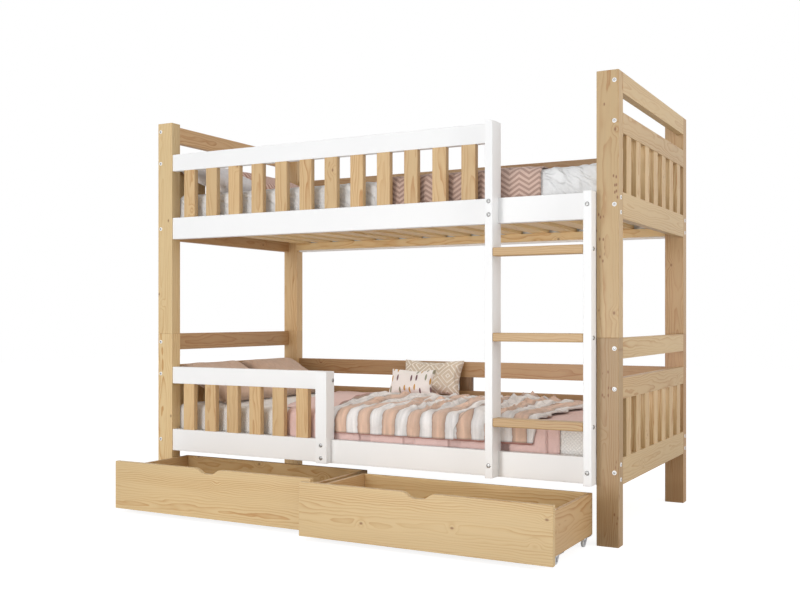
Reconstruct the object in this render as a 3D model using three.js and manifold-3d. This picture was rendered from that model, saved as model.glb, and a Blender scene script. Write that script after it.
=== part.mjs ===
// A pine and white bunk bed with guard rails, a ladder and two drawers on swivel casters.
// Millimetres, +Z up. The origin lies on the floor under the middle of the whole object.
// Inside the bed group Y is 0 at the front faces of the posts and runs to the back.
// Slats, battens and drawer walls are joined to the boards that hold them by short tenons.

import * as THREE from 'three';
import { mergeVertices } from 'three/addons/utils/BufferGeometryUtils.js';
import Module from 'manifold-3d';

const wasm = await Module();
wasm.setup();

// Overall size, set by a 900 by 1900 mattress
const bedLength = 2000;
const bedWidth = 980;
const jointHeight = 697;
const levelRise = 893;
const postWide = 76;
const postDeep = 52;

// End panels: three rails and seven slats at each end of each bunk
const panelThick = 28;
const topRailTall = 70;
const panelGap = 65;
const midRailTall = 70;
const bottomRailAdded = 20;
const underBedHeight = 204;
const panelSlatCount = 7;
const panelSlatWide = 58;
const panelSlatThick = 24;
const panelSlatEndGap = 49;

// Side rails with the cleats that carry the bed slats
const railThick = 30;
const railSetBack = 4;
const cleatTall = 34;
const cleatThick = 25;
const cleatRaise = 7;
const bedSlatCount = 15;
const bedSlatWide = 70;
const bedSlatThick = 18;
const bedSlatEndGap = 7;
const bedSlatGap = 3;

// Guard boards and their slats
const guardTall = 70;
const guardThick = 28;
const guardSlatWide = 56;
const guardSlatThick = 24;
const upperGuardDrop = 136;
const upperGuardSlatCount = 12;
const lowerGuardLength = 743;
const lowerGuardDrop = 140;
const lowerGuardSlatCount = 6;
const guardEndWide = 50;
const guardEndFront = 30;
const backGuardTall = 70;
const backGuardThick = 28;
const backGuardDrop = 137;
const backBattenWide = 64;
const backBattenThick = 24;

// Ladder
const uprightWide = 28.5;
const uprightFront = 50;
const uprightBack = 28;
const uprightLift = 1;
const uprightPostGap = 1.5;
const ladderWide = 384;
const rungTall = 30;
const rungDeep = 50;
const rungCount = 3;
const rungPitch = 297;

// Drawers
const drawerGap = 4;
const drawerFrontThick = 20;
const drawerFrontBottom = 16;
const drawerHeadroom = 3;
const drawerDepth = 415;
const drawerSideInset = 11;
const drawerWall = 15;
const drawerBoxBottom = 36;
const drawerBoxDrop = 25;
const drawerFloorThick = 5;
const notchWide = 130;
const notchDeep = 19;
const notchEndShare = 0.42;
const leftDrawerOut = 333;
const rightDrawerOut = 410;

// Swivel casters
const wheelRadius = 13;
const wheelWide = 10;
const wheelEdge = 1.5;
const axleRadius = 2;
const trail = 14;
const cheekThick = 1.5;
const cheekHalf = 5;
const crownRadius = 9;
const crownThick = 2.5;
const kingpinRadius = 3;
const plateWide = 36;
const plateThick = 2;
const plateSeat = 1;
const casterInset = 18;
const casterFrontPlace = 114;
const casterBackPlace = 28;

// Mattresses and bedding
const mattressEndGap = 22;
const mattressSideGap = 20;
const mattressTall = 136;
const mattressCorner = 40;
const mattressEdge = 14;
const sheetTurn = 10;
const coverletLeft = -369;
const coverletThick = 5;
const pleatDeep = 3;
const pleatPitch = 190;
const pleatWide = 50;
const coverletHemLift = 4;
const duvetLeft = -150;
const duvetRight = 700;
const duvetBack = 735;
const duvetHemDrop = 81;
const duvetCells = 26;
const duvetThick = 9;
const duvetFold = 5;
const duvetBillow = 22;
const flapLeft = 380;
const flapThick = 10;
const blanketLeft = 89;
const blanketRight = 709;
const blanketCells = 18;
const blanketThick = 7;
const blanketFold = 5;
const blanketBillow = 9;
const blanketHemLift = 6;

// Pillows and cushions: width, height, crown and the lean from the level
const pillowSideGap = 26;
const pillowHigh = 308;
const pillowCrown = 110;
const pillowPress = 8;
const pillowCells = 10;
const lowerPillowLean = 0.54;
const upperPillowLean = 0.43;
const lowerPillowInset = 12;
const upperPillowFrontInset = 20;
const upperPillowRearInset = 16;
const upperPillowShift = 90;
const bigCushionWide = 318;
const bigCushionHigh = 180;
const bigCushionCrown = 78;
const bigCushionPlace = -144;
const smallCushionWide = 235;
const smallCushionHigh = 132;
const smallCushionCrown = 54;
const smallCushionPlace = -219;
const cushionLean = 1.22;
const cushionPress = 8;
const seamThick = 7;
const drawnInShare = 0.05;

// Clearances and finishing values
const fitGap = 0.3;
const runningGap = 0.4;
const easedEdge = 1.5;
const tenon = 12;
const slatSeat = 1;
const floorTongue = 6;
const overrun = 1;
const postInnerGap = 2;

const colours = {
  pine: 0xdcbd88,
  paint: 0xf3f3f2,
  sheet: 0xf0f0f2,
  pinkCover: 0xe6bcb8,
  duvet: 0xe4c8b4,
  blanket: 0xd8b0a8,
  pillow: 0xc9a69a,
  cushion: 0xe6dccb,
  fork: 0xb9babd,
  wheel: 0xd5d6d6,
};

// Derived levels and places

const halfLength = bedLength / 2;
const postInside = halfLength - postWide;
const bottomRailTall = topRailTall + bottomRailAdded;
const panelTall = jointHeight - underBedHeight;
const panelSlatTall = panelTall - topRailTall - panelGap - midRailTall - bottomRailTall;
const levels = [
  { name: 'lower', base: 0, top: jointHeight },
  { name: 'upper', base: jointHeight, top: jointHeight + levelRise },
];
for (const level of levels) {
  level.railBottom = level.top - panelTall;
  level.railTop = level.railBottom + bottomRailTall;
  level.cleatTop = level.railBottom + cleatRaise + cleatTall;
  level.slatTop = level.cleatTop + bedSlatThick;
  level.mattressTop = level.slatTop + mattressTall;
}
const [lower, upper] = levels;
const upperGuardTop = upper.top - upperGuardDrop;
const lowerGuardTop = lower.top - lowerGuardDrop;
const railInner = railSetBack + railThick;
const mattressFront = railInner + mattressSideGap;
const mattressWide = bedWidth - 2 * mattressFront;
const mattressBack = bedWidth - mattressFront;
const mattressLength = bedLength - 2 * (panelThick + mattressEndGap);
const pillowWide = mattressWide / 2 - pillowSideGap;
const lowerPillowFront = mattressFront + lowerPillowInset;
const upperPillowFront = mattressFront + upperPillowFrontInset;
const upperPillowFrontWide = pillowWide - upperPillowShift;
const upperPillowRearWide = pillowWide + upperPillowShift;
const upperPillowRear = mattressBack - upperPillowRearInset - upperPillowRearWide;
const panelSlatSpan = bedWidth - 2 * (postDeep + panelSlatEndGap);
const panelSlatPitch = (panelSlatSpan - panelSlatWide) / (panelSlatCount - 1);
const bedSlatSpan = 2 * (postInside - bedSlatEndGap);
const bedSlatPitch = (bedSlatSpan - bedSlatWide) / (bedSlatCount - 1);
const ladderRight = postInside - uprightPostGap;
const ladderLeft = ladderRight - ladderWide;
const guardEndRight = -postInside + lowerGuardLength + guardEndWide;
const uprightBottom = lower.railBottom + uprightLift;
const wholeShift = -(bedWidth - rightDrawerOut) / 2;

// Geometry helpers

function closed(geometry) {
  const bare = geometry.clone();
  bare.deleteAttribute('normal');
  bare.deleteAttribute('uv');
  const merged = mergeVertices(bare);
  return signedVolume(merged) < 0 ? turnedOut(merged) : merged;
}

function signedVolume(geometry) {
  const points = geometry.getAttribute('position');
  const index = geometry.getIndex();
  const [a, b, c] = [new THREE.Vector3(), new THREE.Vector3(), new THREE.Vector3()];
  let volume = 0;
  for (let i = 0; i < index.count; i += 3) {
    a.fromBufferAttribute(points, index.getX(i));
    b.fromBufferAttribute(points, index.getX(i + 1));
    c.fromBufferAttribute(points, index.getX(i + 2));
    volume += a.dot(b.cross(c));
  }
  return volume;
}

function turnedOut(geometry) {
  const index = Array.from(geometry.getIndex().array);
  for (let i = 0; i < index.length; i += 3) {
    [index[i + 1], index[i + 2]] = [index[i + 2], index[i + 1]];
  }
  geometry.setIndex(index);
  return geometry;
}

function solidOf(geometry) {
  const bare = closed(geometry);
  return new wasm.Manifold(new wasm.Mesh({
    numProp: 3,
    vertProperties: new Float32Array(bare.getAttribute('position').array),
    triVerts: new Uint32Array(bare.getIndex().array),
  }));
}

function geometryOf(solid) {
  const mesh = solid.getMesh();
  const geometry = new THREE.BufferGeometry();
  geometry.setAttribute('position', new THREE.BufferAttribute(new Float32Array(mesh.vertProperties), 3));
  geometry.setIndex(Array.from(mesh.triVerts));
  return geometry;
}

// One body from pieces that reach into each other
function joined(pieces) {
  return geometryOf(pieces.map(solidOf).reduce((whole, piece) => whole.add(piece)));
}

// The matrix that lays an extrusion's depth along x, y or z
function runMatrix(run) {
  const [x, y, z] = [new THREE.Vector3(1, 0, 0), new THREE.Vector3(0, 1, 0), new THREE.Vector3(0, 0, 1)];
  const bases = { x: [y, z, x], y: [z, x, y], z: [x, y, z] };
  return new THREE.Matrix4().makeBasis(...bases[run]);
}

// An outline in the two axes that follow the run, extruded from start to end along it
function extruded(run, outline, [start, end], curveSegments = 4) {
  const settings = { depth: end - start, bevelEnabled: false, curveSegments };
  const geometry = new THREE.ExtrudeGeometry(outline, settings);
  geometry.translate(0, 0, start);
  return geometry.applyMatrix4(runMatrix(run));
}

function polygon(points) {
  return new THREE.Shape(points.map(([a, b]) => new THREE.Vector2(a, b)));
}

// A straight board with eased long edges, between three pairs of faces
function board(run, spanX, spanY, spanZ, edge = easedEdge) {
  const spans = { x: [spanY, spanZ, spanX], y: [spanZ, spanX, spanY], z: [spanX, spanY, spanZ] };
  const [[a0, a1], [b0, b1], along] = spans[run];
  const outline = edge === 0
    ? [[a0, b0], [a1, b0], [a1, b1], [a0, b1]]
    : [
      [a0 + edge, b0], [a1 - edge, b0], [a1, b0 + edge], [a1, b1 - edge],
      [a1 - edge, b1], [a0 + edge, b1], [a0, b1 - edge], [a0, b0 + edge],
    ];
  return extruded(run, polygon(outline), along);
}

// The same span on the other side of the bed's length or width
function mirroredX([x0, x1]) {
  return [-x1, -x0];
}

function mirroredY([y0, y1]) {
  return [bedWidth - y1, bedWidth - y0];
}

// A span of the given size around its middle
function around(middle, size) {
  return [middle - size / 2, middle + size / 2];
}

// Slats of one width with equal gaps between two ends
function equalSlats(count, wide, [from, to]) {
  const gap = (to - from - count * wide) / (count + 1);
  return Array.from({ length: count }, (_, i) => {
    const start = from + gap + i * (wide + gap);
    return [start, start + wide];
  });
}

// Slats at a fixed pitch around a middle
function pitchedSlats(count, wide, pitch, middle) {
  return Array.from({ length: count }, (_, i) => around(middle + (i - (count - 1) / 2) * pitch, wide));
}

// Spans shared by several pieces

// The middle rung lies at the joint between the two beds
function rungHeights() {
  return Array.from({ length: rungCount }, (_, i) => jointHeight + (i - (rungCount - 1) / 2) * rungPitch);
}

const postSpansX = { left: [-halfLength, -postInside], right: [postInside, halfLength] };
const postSpansY = { front: [0, postDeep], rear: [bedWidth - postDeep, bedWidth] };
const insideSpan = [-postInside, postInside];
const frontRailY = [railSetBack, railInner];
const frontGuardY = [railSetBack, railSetBack + guardThick];

// Frame pieces

function post(side, face, level) {
  return board('z', postSpansX[side], postSpansY[face], [level.base, level.top]);
}

const panelY = [postDeep, bedWidth - postDeep];

function panelX(side) {
  const left = [-halfLength, -halfLength + panelThick];
  return side === 'left' ? left : mirroredX(left);
}

function endBoard(side, level) {
  return board('y', panelX(side), panelY, [level.top - topRailTall, level.top]);
}

// Two rails with slats between them
function endPanel(side, level) {
  const spanX = panelX(side);
  const midTop = level.top - topRailTall - panelGap;
  const rails = [[level.railBottom, level.railTop], [midTop - midRailTall, midTop]].map(
    (spanZ) => board('y', spanX, panelY, spanZ),
  );
  const slatX = around((spanX[0] + spanX[1]) / 2, panelSlatThick);
  const slatZ = [level.railTop - tenon, level.railTop + panelSlatTall + tenon];
  const slatsY = pitchedSlats(panelSlatCount, panelSlatWide, panelSlatPitch, bedWidth / 2);
  return joined([...rails, ...slatsY.map((slatY) => board('z', slatX, slatY, slatZ))]);
}

function sideRail(face, level) {
  const spanY = face === 'front' ? frontRailY : mirroredY(frontRailY);
  return board('x', insideSpan, spanY, [level.railBottom, level.railTop]);
}

// Slats on two cleats, as one deck that hangs on the side rails
function slatDeck(level) {
  const cleatY = [railInner, railInner + cleatThick];
  const cleats = [cleatY, mirroredY(cleatY)].map(
    (y) => board('x', insideSpan, y, [level.cleatTop - cleatTall, level.cleatTop + slatSeat], 0),
  );
  const slatY = [railInner + bedSlatGap, bedWidth - railInner - bedSlatGap];
  const spans = pitchedSlats(bedSlatCount, bedSlatWide, bedSlatPitch, 0);
  const slats = spans.map((x) => board('y', x, slatY, [level.cleatTop, level.slatTop], 0));
  return joined([...cleats, ...slats]);
}

// A guard board with slats down to the rail
function frontGuard(count, level, spanX, top) {
  const bottom = top - guardTall;
  const spanY = around((frontGuardY[0] + frontGuardY[1]) / 2, guardSlatThick);
  const slats = equalSlats(count, guardSlatWide, spanX).map(
    (x) => board('z', x, spanY, [level.railTop, bottom + tenon]),
  );
  return joined([board('x', spanX, frontGuardY, [bottom, top]), ...slats]);
}

// Two boards between the rear posts, with short battens below each at mid length
function backGuard(level) {
  const top = level.top - backGuardDrop;
  const backGuardGap = (top - level.railTop) / 2 - backGuardTall;
  const spanY = mirroredY([railSetBack, railSetBack + backGuardThick]);
  const battenY = around((spanY[0] + spanY[1]) / 2, backBattenThick);
  const battenX = around(0, backBattenWide);
  const lowTop = top - backGuardTall - backGuardGap;
  const boards = [[top - backGuardTall, top], [lowTop - backGuardTall, lowTop]];
  const battens = [
    [lowTop - tenon, top - backGuardTall + tenon],
    [level.railTop, lowTop - backGuardTall + tenon],
  ];
  return joined([
    ...boards.map((z) => board('x', insideSpan, spanY, z)),
    ...battens.map((z) => board('z', battenX, battenY, z)),
  ]);
}

// An upright in front of the rails, cut out at its back where a rail passes
function notchedUpright(spanX, front, back, [bottom, top], rails) {
  let solid = solidOf(board('z', spanX, [-front, back], [bottom, top]));
  for (const level of rails) {
    const cutX = [spanX[0] - overrun, spanX[1] + overrun];
    const cutTop = level.railTop + (level.railTop < top ? fitGap : overrun);
    const cutBottom = level.railBottom - (level.railBottom > bottom ? fitGap : overrun);
    const cut = board('x', cutX, [railSetBack, back + overrun], [cutBottom, cutTop], 0);
    solid = solid.subtract(solidOf(cut));
  }
  return geometryOf(solid);
}

// The short lower guard with the post that ends it in front of the rail
function lowerGuard() {
  const boardX = [-postInside, guardEndRight - guardEndWide];
  const endX = [guardEndRight - guardEndWide, guardEndRight];
  const endZ = [uprightBottom, lowerGuardTop];
  const end = notchedUpright(endX, guardEndFront, uprightBack, endZ, [lower]);
  const tongueY = around((frontGuardY[0] + frontGuardY[1]) / 2, guardSlatThick / 2);
  const tongueZ = [lowerGuardTop - guardTall + tenon, lowerGuardTop - tenon];
  const tongue = board('x', [endX[0] - tenon, endX[0] + tenon], tongueY, tongueZ, 0);
  return joined([frontGuard(lowerGuardSlatCount, lower, boardX, lowerGuardTop), tongue, end]);
}

function ladderRung(height) {
  const spanX = [ladderLeft + uprightWide, ladderRight - uprightWide];
  const spanY = [-uprightFront, rungDeep - uprightFront];
  return board('x', spanX, spanY, around(height, rungTall));
}

// Mattresses and bedding

function mattress(level) {
  const [halfX, halfY] = [mattressLength / 2 - mattressEdge, mattressWide / 2 - mattressEdge];
  const radius = mattressCorner - mattressEdge;
  const outline = new THREE.Shape();
  outline.absarc(halfX - radius, halfY - radius, radius, 0, Math.PI / 2);
  outline.absarc(-halfX + radius, halfY - radius, radius, Math.PI / 2, Math.PI);
  outline.absarc(-halfX + radius, -halfY + radius, radius, Math.PI, Math.PI * 1.5);
  outline.absarc(halfX - radius, -halfY + radius, radius, Math.PI * 1.5, Math.PI * 2);
  const geometry = new THREE.ExtrudeGeometry(outline, {
    depth: mattressTall - 2 * mattressEdge,
    bevelThickness: mattressEdge,
    bevelSize: mattressEdge,
    bevelSegments: 2,
    curveSegments: 3,
  });
  return closed(geometry.translate(0, bedWidth / 2, level.slatTop + mattressEdge));
}

// The way of a cloth from the back over the front edge down to its hem: a point and the outward
// direction for each share of the whole way
function overEdge(back, front, top, hem, radius) {
  const flat = back - front - radius;
  const turn = radius * Math.PI / 2;
  const drop = top - radius - hem;
  const whole = flat + turn + drop;
  return {
    flatShare: flat / whole,
    turnShare: (flat + turn) / whole,
    at(share) {
      const way = share * whole;
      if (way <= flat) {
        return { y: back - way, z: top, outY: 0, outZ: 1, fall: 0 };
      }
      if (way <= flat + turn) {
        const angle = (way - flat) / radius;
        const [outY, outZ] = [-Math.sin(angle), Math.cos(angle)];
        return {
          y: front + radius + outY * radius, z: top - radius + outZ * radius, outY, outZ,
          fall: (way - flat) / turn,
        };
      }
      return { y: front, z: top - radius - (way - flat - turn), outY: -1, outZ: 0, fall: 1 };
    },
  };
}

function evenPlaces([from, to], count) {
  return Array.from({ length: count + 1 }, (_, i) => from + (to - from) * i / count);
}

// The stations of a way: even on the flat, three in the turn, even on the fall
function stations(way, flatCount, fallCount) {
  const flat = Array.from({ length: flatCount }, (_, i) => way.flatShare * i / flatCount);
  const turn = [0, 1, 2].map((i) => way.flatShare + (way.turnShare - way.flatShare) * i / 3);
  const fall = evenPlaces([way.turnShare, 1], fallCount);
  return [...flat, ...turn, ...fall];
}

// A closed cloth over a way, at the cross places given, lifted by folds that only rise outward
function drapedCloth(places, way, shares, thick, lift) {
  const [countX, countS] = [places.length - 1, shares.length - 1];
  const geometry = new THREE.BoxGeometry(1, 1, 1, countX, 1, countS);
  const points = geometry.getAttribute('position');
  for (let i = 0; i < points.count; i += 1) {
    const x = places[Math.round((points.getX(i) + 0.5) * countX)];
    const share = shares[Math.round((points.getZ(i) + 0.5) * countS)];
    const spot = way.at(share);
    const out = fitGap + lift(x, share, spot.fall) + (points.getY(i) > 0 ? thick(x, spot.fall) : 0);
    points.setXYZ(i, x, spot.y + spot.outY * out, spot.z + spot.outZ * out);
  }
  return closed(geometry);
}

// A soft wave between 0 and 1
function wave(phase) {
  return 0.5 + 0.5 * Math.sin(phase);
}

const coverletTop = lower.mattressTop + fitGap + coverletThick;
const coverletFront = mattressFront - fitGap - coverletThick - pleatDeep;
const cushionGround = coverletTop + runningGap;

// The pink coverlet, with box pleats down its front
function coverlet() {
  const right = postInside - postInnerGap;
  const places = [coverletLeft];
  for (let start = right - pleatPitch; start > coverletLeft + pleatWide; start -= pleatPitch) {
    places.push(start, start + pleatDeep, start + pleatWide - pleatDeep, start + pleatWide);
  }
  places.push(right);
  places.sort((a, b) => a - b);
  const hem = lower.slatTop + coverletHemLift;
  const way = overEdge(mattressBack, mattressFront, lower.mattressTop, hem, sheetTurn);
  const lift = (x, share, fall) => {
    const fromStart = (((right - x) % pleatPitch) + pleatPitch) % pleatPitch;
    const inPleat = fromStart > pleatPitch - pleatWide && fromStart < pleatPitch;
    return inPleat ? 0 : pleatDeep * fall;
  };
  return drapedCloth(places, way, stations(way, 2, 1), () => coverletThick, lift);
}

// Half turns of the folds across each cloth, and how far they sway from back to hem
const duvetFoldTurns = 11;
const duvetFoldSway = 5;
const duvetBillowTurns = 3;
const duvetBillowSway = 4;
const duvetSwellShare = 0.77;
const blanketTurns = 6;
const blanketSway = 4;

function duvetLift(x, share, fall) {
  const along = (x - duvetLeft) / (duvetRight - duvetLeft);
  const fold = wave(along * duvetFoldTurns * Math.PI + duvetFoldSway * share);
  const swell = Math.sin(Math.PI * Math.min(share / duvetSwellShare, 1)) ** 2;
  const billow = duvetBillow * swell * wave(along * Math.PI * duvetBillowTurns + share * duvetBillowSway);
  return fold * duvetFold + billow * (1 - fall);
}

// The striped duvet, with its end turned back over itself as a second layer
function duvet() {
  const hem = lower.mattressTop - duvetHemDrop;
  const way = overEdge(duvetBack, coverletFront, coverletTop, hem, sheetTurn);
  const places = evenPlaces([duvetLeft, duvetRight], duvetCells);
  const thick = (x, fall) => duvetThick + (x > flapLeft ? flapThick * (1 - fall) : 0);
  return drapedCloth(places, way, stations(way, 8, 2), thick, duvetLift);
}

// The chevron blanket on the upper bunk, tucked behind the front rail
function blanket() {
  const hem = upper.slatTop + blanketHemLift;
  const way = overEdge(mattressBack, mattressFront, upper.mattressTop, hem, sheetTurn);
  const lift = (x, share, fall) => {
    const along = (x - blanketLeft) / (blanketRight - blanketLeft);
    const fold = wave(along * Math.PI * blanketTurns + share * blanketSway);
    const swell = Math.sin(Math.PI * share) * wave(share * blanketTurns + along * blanketSway);
    return fold * blanketFold + blanketBillow * swell * (1 - fall);
  };
  const places = evenPlaces([blanketLeft, blanketRight], blanketCells);
  return drapedCloth(places, way, stations(way, 7, 2), () => blanketThick, lift);
}

// A stuffed form on the XY plane: a crown on each side and sides drawn in between the corners
function stuffed(wide, high, crown) {
  const geometry = new THREE.BoxGeometry(1, 1, 1, pillowCells, pillowCells, 1);
  const points = geometry.getAttribute('position');
  for (let i = 0; i < points.count; i += 1) {
    const [u, v] = [2 * points.getX(i), 2 * points.getY(i)];
    const full = Math.sqrt((1 - u ** 4) * (1 - v ** 4));
    const half = (seamThick + (crown - seamThick) * full) / 2;
    const inX = 1 - drawnInShare * (1 - v * v);
    const inY = 1 - drawnInShare * (1 - u * u);
    points.setXYZ(i, u * inX * wide / 2, v * inY * high / 2, Math.sign(points.getZ(i)) * half);
  }
  return closed(geometry);
}

// A pillow on the mattress with its top edge against the left end panel
function leaningPillow(level, front, lean, wide = pillowWide) {
  const geometry = stuffed(pillowHigh, wide, pillowCrown).rotateY(lean);
  geometry.computeBoundingBox();
  const { min } = geometry.boundingBox;
  const wall = -halfLength + panelThick + runningGap;
  return geometry.translate(wall - min.x, front + wide / 2, level.mattressTop + runningGap - min.z);
}

// The two lower pillows, pressed against each other
function lowerPillows() {
  const rear = lowerPillowFront + pillowWide - pillowPress;
  return joined([lowerPillowFront, rear].map((front) => leaningPillow(lower, front, lowerPillowLean)));
}

// The big cushion against the back guard, with the small one pressed against it
function cushions() {
  const wall = bedWidth - railSetBack - backGuardThick - runningGap;
  const big = stuffed(bigCushionWide, bigCushionHigh, bigCushionCrown).rotateX(cushionLean);
  big.computeBoundingBox();
  const bigY = wall - big.boundingBox.max.y;
  big.translate(bigCushionPlace, bigY, cushionGround - big.boundingBox.min.z);
  const small = stuffed(smallCushionWide, smallCushionHigh, smallCushionCrown).rotateX(cushionLean);
  small.computeBoundingBox();
  const apart = (bigCushionCrown + smallCushionCrown) / 2 - cushionPress;
  const drop = (bigCushionHigh - smallCushionHigh) / 2;
  const smallY = bigY - apart / Math.sin(cushionLean) - drop * Math.cos(cushionLean);
  small.translate(smallCushionPlace, smallY, cushionGround - small.boundingBox.min.z);
  return joined([big, small]);
}

// Drawers: each in its own group, with Y 0 at the front face and X 0 at the middle

const drawerWide = (2 * postInside - 3 * drawerGap) / 2;
const drawerTop = lower.railBottom - drawerHeadroom;
const drawerBoxTop = drawerTop - drawerBoxDrop;
const boxHalf = drawerWide / 2 - drawerSideInset;
const axleHeight = wheelRadius;
const plateBottom = drawerBoxBottom - plateThick;
const crownTop = plateBottom - fitGap;

function drawerFront() {
  const half = drawerWide / 2;
  const notchEnd = notchWide * notchEndShare;
  const [notchHalf, notchLow] = [notchWide / 2, drawerTop - notchDeep];
  const outline = new THREE.Shape();
  outline.moveTo(drawerFrontBottom, -half);
  outline.lineTo(drawerTop, -half);
  outline.lineTo(drawerTop, -notchHalf);
  const turn = notchHalf - notchEnd / 2;
  outline.bezierCurveTo(drawerTop, -turn, notchLow, -turn, notchLow, -notchHalf + notchEnd);
  outline.lineTo(notchLow, notchHalf - notchEnd);
  outline.bezierCurveTo(notchLow, turn, drawerTop, turn, drawerTop, notchHalf);
  outline.lineTo(drawerTop, half);
  outline.lineTo(drawerFrontBottom, half);
  return closed(extruded('y', outline, [0, drawerFrontThick]));
}

const casterPlaces = [casterFrontPlace, drawerDepth - casterBackPlace].flatMap(
  (y) => [-boxHalf + casterInset, boxHalf - casterInset].map((x) => [x, y]),
);

// A caster plate under the drawer, with the hole for the fork's kingpin
function casterPlate([x, y]) {
  const half = plateWide / 2;
  const corners = [[-half, -half], [half, -half], [half, half], [-half, half]];
  const outline = polygon(corners.map(([a, b]) => [x + a, y + b]));
  outline.holes.push(new THREE.Path().absarc(x, y, kingpinRadius + runningGap, 0, Math.PI * 2));
  return extruded('z', outline, [plateBottom, drawerBoxBottom + plateSeat]);
}

// Walls, floor and caster plates behind the front
function drawerBox() {
  const tall = [drawerBoxBottom, drawerBoxTop];
  const leftWall = [-boxHalf, -boxHalf + drawerWall];
  const between = [-boxHalf + drawerWall - floorTongue, boxHalf - drawerWall + floorTongue];
  const floorY = [drawerFrontThick, drawerDepth - drawerWall + floorTongue];
  return joined([
    board('y', leftWall, [drawerFrontThick, drawerDepth], tall),
    board('y', mirroredX(leftWall), [drawerFrontThick, drawerDepth], tall),
    board('x', between, [drawerDepth - drawerWall, drawerDepth], tall, 0),
    board('x', between, floorY, [drawerBoxBottom, drawerBoxBottom + drawerFloorThick], 0),
    ...casterPlaces.map(casterPlate),
  ]);
}

// A round rod along Y between two ends
function rod(radius, from, to, sides) {
  return new THREE.CylinderGeometry(radius, radius, to - from, sides).translate(0, (from + to) / 2, 0);
}

// The fork about its swivel axis: crown, kingpin, two cheeks and the axle behind them
function casterFork() {
  const crownSpan = [crownTop - crownThick, crownTop];
  const cheekOuter = wheelWide / 2 + runningGap * 2 + cheekThick;
  const upright = (radius, [z0, z1]) => rod(radius, z0, z1, 8).rotateX(Math.PI / 2);
  const crown = upright(crownRadius, crownSpan);
  const kingpin = upright(kingpinRadius, [crownTop - crownThick / 2, drawerBoxBottom - fitGap]);
  const outline = polygon([
    [crownRadius - cheekThick, crownSpan[0] + crownThick / 2],
    [-crownRadius + cheekThick, crownSpan[0] + crownThick / 2],
    [-trail - cheekHalf, axleHeight],
    [-trail, axleHeight - cheekHalf],
    [-trail + cheekHalf, axleHeight],
    [crownRadius - cheekThick, crownSpan[0] - crownThick],
  ]);
  const cheeks = [[-cheekOuter, -cheekOuter + cheekThick], [cheekOuter - cheekThick, cheekOuter]].map(
    (span) => extruded('x', outline, span),
  );
  const axle = rod(axleRadius, -cheekOuter + cheekThick / 2, cheekOuter - cheekThick / 2, 8);
  axle.rotateZ(Math.PI / 2).translate(0, -trail, axleHeight);
  return joined([crown, kingpin, ...cheeks, axle]);
}

// The wheel about its axle, with a bore for the axle
function casterWheel() {
  const half = wheelWide / 2;
  const bore = axleRadius + runningGap;
  const profile = [
    [bore, -half], [wheelRadius - wheelEdge, -half], [wheelRadius, -half + wheelEdge],
    [wheelRadius, half - wheelEdge], [wheelRadius - wheelEdge, half], [bore, half], [bore, -half],
  ];
  const geometry = new THREE.LatheGeometry(profile.map(([r, h]) => new THREE.Vector2(r, h)), 16);
  return closed(geometry.rotateZ(Math.PI / 2));
}

// The scene

const bed = new THREE.Group();
bed.position.y = wholeShift;

function addMesh(parent, name, geometry, colour, roughness = 0.6, metalness = 0) {
  geometry.computeVertexNormals();
  const finish = new THREE.MeshStandardMaterial({ color: colour, roughness, metalness });
  const mesh = new THREE.Mesh(geometry, finish);
  mesh.name = name;
  parent.add(mesh);
  return mesh;
}

for (const level of levels) {
  for (const side of ['left', 'right']) {
    for (const face of ['front', 'rear']) {
      addMesh(bed, `${level.name}_post_${face}_${side}`, post(side, face, level), colours.pine);
    }
    addMesh(bed, `${level.name}_end_board_${side}`, endBoard(side, level), colours.pine);
    addMesh(bed, `${level.name}_end_panel_${side}`, endPanel(side, level), colours.pine);
  }
  const rearColour = level === upper ? colours.paint : colours.pine;
  addMesh(bed, `${level.name}_rail_front`, sideRail('front', level), colours.paint, 0.4);
  addMesh(bed, `${level.name}_rail_rear`, sideRail('rear', level), rearColour, 0.4);
  addMesh(bed, `${level.name}_slat_deck`, slatDeck(level), colours.pine);
  addMesh(bed, `${level.name}_mattress`, mattress(level), colours.sheet, 0.9);
}

const upperGuardX = [-postInside, ladderLeft];
const upperGuard = frontGuard(upperGuardSlatCount, upper, upperGuardX, upperGuardTop);
addMesh(bed, 'upper_guard', upperGuard, colours.pine);
addMesh(bed, 'lower_guard', lowerGuard(), colours.pine);
addMesh(bed, 'upper_back_guard', backGuard(upper), colours.pine);
addMesh(bed, 'lower_back_guard', backGuard(lower), colours.pine);

const leftX = [ladderLeft, ladderLeft + uprightWide];
const rightX = [ladderRight - uprightWide, ladderRight];
const ladderUpright = (x, top) => notchedUpright(x, uprightFront, uprightBack, [uprightBottom, top], levels);
const leftUpright = ladderUpright(leftX, upperGuardTop);
const rightUpright = ladderUpright(rightX, upper.railTop);
addMesh(bed, 'ladder_left_upright', leftUpright, colours.paint, 0.4);
addMesh(bed, 'ladder_right_upright', rightUpright, colours.paint, 0.4);
rungHeights().forEach((height, i) => {
  addMesh(bed, `ladder_rung_${i + 1}`, ladderRung(height), colours.pine);
});

addMesh(bed, 'coverlet', coverlet(), colours.pinkCover, 0.95);
addMesh(bed, 'duvet', duvet(), colours.duvet, 0.95);
addMesh(bed, 'blanket', blanket(), colours.blanket, 0.95);
addMesh(bed, 'lower_pillows', lowerPillows(), colours.pillow, 0.95);
const upperPillow = (front, wide) => leaningPillow(upper, front, upperPillowLean, wide);
const upperFront = upperPillow(upperPillowFront, upperPillowFrontWide);
addMesh(bed, 'upper_pillow_front', upperFront, colours.pillow, 0.95);
const upperRear = upperPillow(upperPillowRear, upperPillowRearWide);
addMesh(bed, 'upper_pillow_rear', upperRear, colours.blanket, 0.95);
addMesh(bed, 'cushions', cushions(), colours.cushion, 0.95);

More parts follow.
